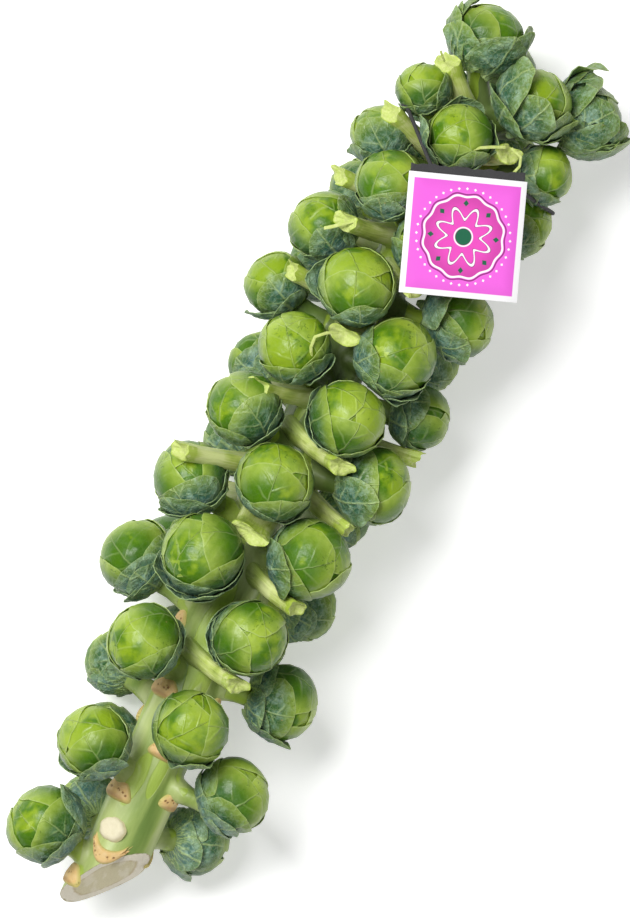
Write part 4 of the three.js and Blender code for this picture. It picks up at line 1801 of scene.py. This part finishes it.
    def cut_stems(self) -> list[tuple[int, tuple[float, ...]]]:
        """Lists the leaf stems that there is room for, each clear of the heads.

        Returns:
            Each stem's number and its row, as in STEMS.
        """
        stems = []
        for root in self.roots:
            under = math.cos(math.radians(root.turn)) < 0.0 and root.index % self.every == 0
            if root.index < self.first_stem or (root.index not in STEMS and not under):
                continue
            if root.index in STEMS:
                stems.append((root.index, STEMS[root.index]))
                continue
            reach = self.ruled_reach + 8.0 * (draw(root.index, 5) - 0.5)
            tip = root.station - 7.0 * draw(root.index, 6)
            turn = root.turn + 6.0 * (draw(root.index, 7) - 0.5)
            while reach > self.least_reach and not self.is_clear(LINE.at(tip) + outward(turn) * reach):
                reach -= 2.0
            stems.append((root.index, (root.station, tip, turn, reach, self.ruled_width, turn)))
        return stems

    def bare_spots(self) -> list[Array]:
        """Lists points along the leaf stems, on the scars and on the butt, which no leaf may hide.

        Returns:
            The points.
        """
        spots = []
        for _, stem in self.cut_stems():
            for share in (0.45, 0.7, 0.95):
                spots.append(LINE.at(stem[1]) + outward(stem[2]) * stem[3] * share)
        bare = [(root.station, root.turn) for root in self.scars()]
        bare += [(station, turn) for station in np.arange(10.0, 101.0, 18.0) for turn in (-35.0, 0.0, 35.0)]
        return spots + [LINE.at(station) + outward(turn) * LINE.radius(station) for station, turn in bare]

    def scars(self) -> list[Root]:
        """Lists the roots whose leaves fell and left a scar."""
        return [root for root in self.roots if root.index < self.first_stem]

    def is_clear(self, tip: Array) -> bool:
        """Tells whether a stem's tip is clear of the heads and of the surface below."""
        apart = (float(np.linalg.norm(head.centre - tip)) - head.radius for head in self.heads)
        return tip[2] >= 6.0 and all(one > 1.0 for one in apart)

    def leaf_stem(self, index: int, stem: tuple[float, ...]) -> Piece:
        """Makes one cut leaf stem, flared at its root, channelled, and torn at its end.

        Args:
            index: The number of the head above it.
            stem: Its root station, tip station, turn, reach, width and root's turn.

        Returns:
            The leaf stem.
        """
        root_station, tip_station, turn, reach, width, root_turn = stem
        root = LINE.at(root_station) + outward(root_turn) * 0.7 * LINE.radius(root_station)
        tip = LINE.at(tip_station) + outward(turn) * reach
        way, across = unit(tip - root), sideways(turn)
        crownward = np.cross(across, way)
        long = float(np.linalg.norm(tip - root))
        sides, rows = self.stem_sides, self.stem_rows
        angles = round_turn(sides)
        right, over = np.cos(angles), np.sin(angles)
        channel = np.where(over > 0.0, 0.85 - 0.40 * (1 - right**2) ** 2, 1.0)
        outline = np.stack([right * width / 2.0, over * self.stem_half * channel], 1)
        slant = 0.45 * (draw(index, 8) - 0.5) * outline[:, 0] + 0.35 * outline[:, 1]
        ragged = 1.1 * np.sin(3 * angles + index) + 0.7 * np.sin(7 * angles + 2 * index) + slant
        rings, marks, ends = [], [], []
        for row in range(rows + 1):
            share = row / rows
            flare, lip = 0.45 * step(0.3, 0.0, share), 0.14 * step(0.78, 1.0, share)
            scale = 0.92 + 0.24 * (1 - share) + flare + lip
            sag = crownward * (-1.2 * math.sin(math.pi * share))
            far = share * long + ragged * step(0.85, 1.0, share)
            ring = root + way * far[:, None] + sag
            rings.append(ring + (outline[:, :1] * across + outline[:, 1:] * crownward) * scale)
            marks.append(0.0)
            ends.append(float(step(self.torn_from, 0.0, long - share * long)))
        for inset, sunk in ((0.82, 0.3), (0.55, 1.6), (0.25, 2.2), (0.0, 2.3)):
            ring = root + way * (long - sunk + ragged[:, None] * inset**2)
            rings.append(ring + (outline[:, :1] * across + outline[:, 1:] * crownward) * 1.07 * inset)
            marks.append(1.0)
            ends.append(1.0)
        rings.insert(0, np.repeat(root[None], sides, 0))
        made, ring_number, side_number = tube("leaf_stem", np.stack(rings))
        which = np.rint(ring_number).astype(int)
        note(made, "cut", np.array([0.0, *marks])[which])
        note(made, "near_end", np.array([0.0, *ends])[which])
        note(made, "near_root", step(24.0, 6.0, ring_number * long / rows))
        lay_out(made, side_number + index * 3.0, ring_number * long / rows)
        return made

    def strand(self, points: Sequence[Sequence[float]], width: float) -> Piece:
        """Makes a peeled strand of skin that hangs from a cut end.

        Args:
            points: Its line.
            width: Its half width.

        Returns:
            The strand.
        """
        made = cord("strand", np.array(points, float), np.array(self.strand_aside), 6, width, 0.4 * width)
        for name, value in (("cut", 1.0), ("near_end", 1.0), ("near_root", 0.0)):
            note(made, name, value)
        return made

    def pad(self, blank: Blank, root: Root) -> Piece:
        """Makes the corky crescent that a fallen leaf leaves, with its horns towards the butt.

        Args:
            blank: A flat disc to bend.
            root: Where the leaf was.

        Returns:
            The pad, still without its thickness.
        """
        made = copy_of(blank.piece)
        x, y = blank.x, blank.y
        rim = np.hypot(x, y)
        side, arm = sideways(root.turn), outward(root.turn)
        wide, tall, horn = self.lost_pad if root.index == self.lost_head else self.pad_size
        across = x * wide * (1.0 - 0.16 * y * np.sign(horn))
        along = y * tall * (1.0 - 0.25 * x * x) - horn * x * x + 0.3 * horn
        base = LINE.radius(root.station)
        turn = across / base
        ridge = []
        for ahead, bend in zip(along, np.degrees(turn)):
            ridge.append(self.ridge_height(root.station + ahead, np.array([root.turn - bend]))[0])
        high = np.array(ridge) + 0.45 * (1.0 - step(0.80, 1.0, rim)) - 0.9 * step(0.93, 1.0, rim)
        points = LINE.at(root.station) + ALONG * along[:, None]
        ways = arm * np.cos(turn)[:, None] + side * np.sin(turn)[:, None]
        place(made, points + ways * (base + high)[:, None])
        lay_out(made, across, y * tall + 0.3)
        note(made, "edge", rim)
        return made

    def snapped(self, blank: Blank) -> Piece:
        """Makes the stub of the head that was snapped off near the butt.

        Args:
            blank: A flat disc to bend.

        Returns:
            The stub, still without its thickness.
        """
        made = copy_of(blank.piece)
        x, y = blank.x, blank.y
        rim = np.hypot(x, y)
        station, turn = self.knob_at
        side, arm = sideways(turn), outward(turn)
        ragged = 1.0 + 0.03 * np.sin(5 * np.arctan2(y, x)) + 0.02 * np.sin(9 * np.arctan2(y, x) + 1.0)
        high = 1.7 - 0.5 * step(0.75, 0.3, rim) - 2.6 * step(0.7, 1.0, rim) ** 2
        points = LINE.at(station) + arm * (LINE.radius(station) + high)[:, None]
        points = points + side * (x * self.knob_size[0] * ragged)[:, None]
        place(made, points + ALONG * (y * self.knob_size[1] * ragged)[:, None])
        lay_out(made, x * 7.0, y * 7.0 + 9.0)
        note(made, "edge", rim + 0.16 * np.exp(-(((rim - 0.5) / 0.1) ** 2)))
        return made

    def build(self) -> None:
        """Makes and dresses the stalk and all that grows straight from it."""
        body = self.body()
        dress(body, body.data.materials[0], "stalk")
        parts = [self.leaf_stem(index, stem) for index, stem in self.cut_stems()]
        parts += [self.strand(points, width) for width, points in STRANDS]
        stems = joined(parts, "leaf_stems")
        round_off(stems, 50.0)
        dress(stems, LeafStemFinish().material())
        blank = Blank(44, (0.05, 0.08, 0.12, 0.16, 0.2, 0.2))
        blank.build()
        scar = ScarFinish("scar_cork")
        fresh = ScarFinish(
            "snapped_cork", cork=srgb(208, 198, 164), pale=srgb(224, 216, 188), lip=srgb(196, 186, 130)
        )
        pads = joined([self.pad(blank, root) for root in self.scars()], "leaf_scars")
        stub = joined([self.snapped(blank)], "snapped_neck")
        for piece, finish in ((pads, scar), (stub, fresh)):
            finish_with(piece, "SOLIDIFY", thickness=self.pad_thick * MM, offset=-1.0)
            round_off(piece, 60.0)
            dress(piece, finish.material())
        blank.discard()


# ------------------------------------------------------------------ the card and its strap


@dataclass
class Card:
    """The square card and the black strip behind its top edge."""

    side: float = 60.0
    thick: float = 0.8
    middle: tuple[float, float, float] = (357.6, -17.0, 118.0)
    heading: float = 21.5
    tilt: float = 12.0
    strip_long: float = 58.0
    strip_wide: float = 5.0
    strip_thick: float = 1.2
    strip_past: float = 1.6
    strip_under: float = 0.4
    strip_faces: tuple[int, int] = (40, 4)
    clear: float = 0.35
    margin: float = 0.6
    strip_margin: float = 0.5
    give: float = 0.02

    def axes(self) -> Array:
        """Gives the card's own axes as columns: x to its top edge, y to its left edge, z out of it."""
        turned = Matrix.Rotation(math.radians(self.heading), 3, "Z")
        return np.array(turned @ Matrix.Rotation(math.radians(self.tilt), 3, "X"))

    def at(self, points: Array) -> Array:
        """Turns places in the card's frame into places along the stalk."""
        return np.array(self.middle) + np.asarray(points, float) @ self.axes().T

    def pressed(self, points: Array) -> Array:
        """Pushes points that would come through the card or its strip down under them.

        Args:
            points: Places on the stalk, in millimetres.

        Returns:
            The places after that.
        """
        local = (points - np.array(self.middle)) @ self.axes()
        x, y, z = local.T
        low = -self.thick / 2.0 - self.clear
        half = self.side / 2.0 + self.margin
        under = (np.abs(x) < half) & (np.abs(y) < half)
        behind = np.abs(x - self.side / 2.0 - self.strip_past) < self.strip_wide / 2.0 + self.strip_margin
        behind = behind & (np.abs(y) < self.strip_long / 2.0 + self.strip_margin)
        z = np.where(under, np.minimum(z, low + self.give * (z - low)), z)
        z = np.where(behind, np.minimum(z, low - self.strip_thick - self.strip_under), z)
        return self.at(np.stack([x, y, z], 1))

    def board(self) -> Piece:
        """Makes the card from a cube with small rounded corners and softened edges.

        Returns:
            The card.
        """
        made = added("tag_board", bpy.ops.mesh.primitive_cube_add, size=1.0)
        made.data.vertices.foreach_set("co", (points_of(made) * (self.side, self.side, self.thick)).ravel())
        finish_with(made, "BEVEL", width=0.12, segments=2, limit_method="ANGLE")
        editing(made, lambda: bpy.ops.mesh.subdivide(number_cuts=6))
        local = points_of(made)
        lay_out(made, -local[:, 1], local[:, 0])
        place(made, self.at(local))
        round_off(made, 30.0)
        return made

    def band(self) -> Piece:
        """Makes the black strip behind the card's top edge, a little wavy along it.

        Returns:
            The strip.
        """
        across, along = self.strip_faces
        grid, columns, rows = sheet("tag_backing", across, along)
        y = (columns / across - 0.5) * self.strip_long
        x = (rows / along - 0.5) * self.strip_wide + self.side / 2.0 + self.strip_past
        x = x + (rows / along) * (0.35 * np.sin(y * 0.42) + 0.25 * np.sin(y * 1.1 + 1.0))
        z = -(self.thick + self.strip_thick) / 2.0 - self.strip_under + 0.12 * np.sin(y * 0.3)
        place(grid, self.at(np.stack([x, y, z], 1)))
        finish_with(grid, "SOLIDIFY", thickness=self.strip_thick * MM, offset=0.0)
        finish_with(grid, "BEVEL", width=0.0002, segments=2, limit_method="ANGLE")
        editing(grid, lambda: bpy.ops.mesh.normals_make_consistent(inside=False))
        round_off(grid)
        return grid

    def build(self) -> None:
        """Makes and dresses the card and its strip."""
        dress(self.board(), CardFinish().material(), "tag_card")
        dress(self.band(), BlackFinish("strip_black").material(), "tag_strip")


@dataclass
class Strap:
    """The thin elastic that is stretched round the crown's heads and tucked behind the strip."""

    card: Card
    heads: list[Sprout]
    thick: float = 2.0
    least: float = 20.0
    station: float = 391.0
    swing: float = 14.0
    start: float = 48.0
    stop: float = 316.0
    corners: int = 17
    ends: tuple[tuple[float, float], tuple[float, float]] = ((27.0, -25.0), (31.0, 17.0))
    behind: float = -3.4
    steps: int = 8
    rounding: float = 0.7
    sides: int = 12

    def station_at(self, y: float) -> float:
        """Gives the station that the strap runs at, further towards the crown on its left side."""
        return self.station + self.swing * float(step(0.0, 44.0, y))

    def support(self, angle: float) -> float:
        """Gives how far out of the stalk the heads hold the strap.

        Args:
            angle: The angle round the stalk, in radians.

        Returns:
            The distance.
        """
        centre, far = LINE.at(self.station), self.least
        for head in self.heads:
            section = head.radius**2 - (head.centre[0] - self.station_at(head.centre[1])) ** 2
            if section > 0.0:
                out = (head.centre[1] - centre[1]) * math.sin(-angle)
                out += (head.centre[2] - centre[2]) * math.cos(angle)
                far = max(far, out + math.sqrt(section) + self.thick / 2.0 + GAP)
        return far

    def path(self) -> Array:
        """Lists the strap's corners, where the straight lines that just clear the heads meet.

        Returns:
            The corners, from end to end.
        """
        centre = LINE.at(self.station)
        ends = [self.card.at([[x, y, self.behind]])[0] for x, y in self.ends]
        points = [ends[0]]
        turn = math.radians((self.stop - self.start) / self.corners)
        for i in range(self.corners):
            angle = math.radians(self.start) + i * turn
            near, following = self.support(angle), self.support(angle + turn)
            slide = (following - near * math.cos(turn)) / math.sin(turn)
            y = centre[1] - near * math.sin(angle) - slide * math.cos(angle)
            z = centre[2] + near * math.cos(angle) - slide * math.sin(angle)
            points.append(np.array((self.station_at(y), y, max(z, self.thick / 2.0 + 0.2))))
        return np.stack([*points, ends[1]])

    def rounded(self, corners: Array) -> Array:
        """Rounds a line at its corners, part of the way to a smooth curve through them.

        Args:
            corners: The line's corners.

        Returns:
            The points of the rounded line.
        """
        line = []
        for i in range(len(corners) - 1):
            before, a, b, after = (corners[min(max(i + k, 0), len(corners) - 1)] for k in (-1, 0, 1, 2))
            for t in np.arange(self.steps) / self.steps:
                curve = 2 * a + (b - before) * t + (2 * before - 5 * a + 4 * b - after) * t**2
                curve = 0.5 * (curve + (3 * a - before - 3 * b + after) * t**3)
                line.append(curve * self.rounding + (a + (b - a) * t) * (1.0 - self.rounding))
        return np.stack([*line, corners[-1]])

    def build(self) -> None:
        """Makes and dresses the strap as a skin along its rounded path."""
        half = self.thick / 2.0
        made = cord("crown_strap", self.rounded(self.path()), ALONG, self.sides, half, half)
        round_off(made, 50.0)
        dress(made, BlackFinish("strap_black", grain=0.0004).material(), "strap")


# ------------------------------------------------------------------ the studio


@dataclass
class Studio:
    """The pale floor, the soft lights and the camera straight above. Its sizes are in metres.

    The camera's picture is the width given as seen, at the level given, and its right side lies
    along the way given as right.
    """

    height: float = 3.2
    seen: float = 0.459
    middle: tuple[float, float] = (0.0017, -0.0018)
    level: float = 0.075
    right: tuple[float, float] = (0.4455, -0.8953)
    sensor: float = 36.0
    floor_side: float = 8.0
    floor_level: float = -0.0002
    floor_glow: float = 0.36
    sky: float = 0.14
    aim: tuple[float, float, float] = (0.0, 0.0, 0.05)
    lamps: tuple[tuple[str, tuple[float, float, float], float, float], ...] = (
        ("key_light", (0.3, 1.0, 2.15), 1.1, 66.0),
        ("fill_light", (-0.7, -0.9, 2.0), 2.0, 12.0),
    )

    def build(self) -> None:
        """Makes the floor, the lights, the world and the camera."""
        plane = bpy.ops.mesh.primitive_plane_add
        floor = added("floor", plane, size=self.floor_side, location=(0.0, 0.0, self.floor_level))
        floor.data.materials.append(self.floor_finish())
        for name, spot, size, power in self.lamps:
            self.lamp(name, spot, size, power)
        world = bpy.data.worlds.new("studio")
        world.use_nodes = True
        background = world.node_tree.nodes["Background"]
        background.inputs["Color"].default_value = (1.0, 1.0, 1.0, 1.0)
        background.inputs["Strength"].default_value = self.sky
        scene = bpy.context.scene
        scene.world = world
        scene.view_settings.view_transform = "Standard"
        self.camera()

    def floor_finish(self) -> bpy.types.Material:
        """Gives the floor's plain pale finish.

        Returns:
            The material.
        """
        r = Recipe("floor_paper")
        grain = r.noise(r.here(), 0.002, 2.0)
        pale = r.mix(grain, (0.93, 0.93, 0.93), (0.95, 0.95, 0.95))
        return r.done(pale, 0.9, Emission_Color=(1.0, 1.0, 1.0), Emission_Strength=self.floor_glow)

    def lamp(self, name: str, spot: tuple[float, float, float], size: float, power: float) -> None:
        """Adds a large soft light that faces the middle of the object.

        Args:
            name: The light's name.
            spot: Its place.
            size: The side of its square.
            power: Its power, in watts.
        """
        made = added(name, bpy.ops.object.light_add, type="AREA", location=spot)
        made.data.size = size
        made.data.energy = power
        made.rotation_mode = "QUATERNION"
        made.rotation_quaternion = (Vector(self.aim) - Vector(spot)).to_track_quat("-Z", "Y")

    def camera(self) -> None:
        """Adds the camera, straight above and turned so that the crown is at the top right."""
        made = added("Camera", bpy.ops.object.camera_add)
        x, y = self.right
        right, up = Vector((x, y, 0.0)), Vector((-y, x, 0.0))
        turned = Matrix((right, up, right.cross(up))).transposed()
        made.matrix_world = Matrix.Translation((*self.middle, self.height)) @ turned.to_4x4()
        made.data.sensor_fit = "AUTO"
        made.data.sensor_width = self.sensor
        made.data.lens = self.sensor * (self.height - self.level) / self.seen
        made.data.clip_end = 20.0
        bpy.context.scene.camera = made


def main() -> None:
    """Builds the whole in order."""
    logging.basicConfig(level=logging.INFO, format="%(message)s")
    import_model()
    spiral = Spiral()
    spiral.sprout()
    card = Card()
    Studio().build()
    stalk = Stalk(spiral.heads)
    stalk.find_roots()
    spots = stalk.bare_spots()
    for head in spiral.heads:
        head.meet(spots)
    stalk.build()
    spiral.build(card)
    card.build()
    Strap(card, spiral.heads).build()


if __name__ == "__main__":
    main()
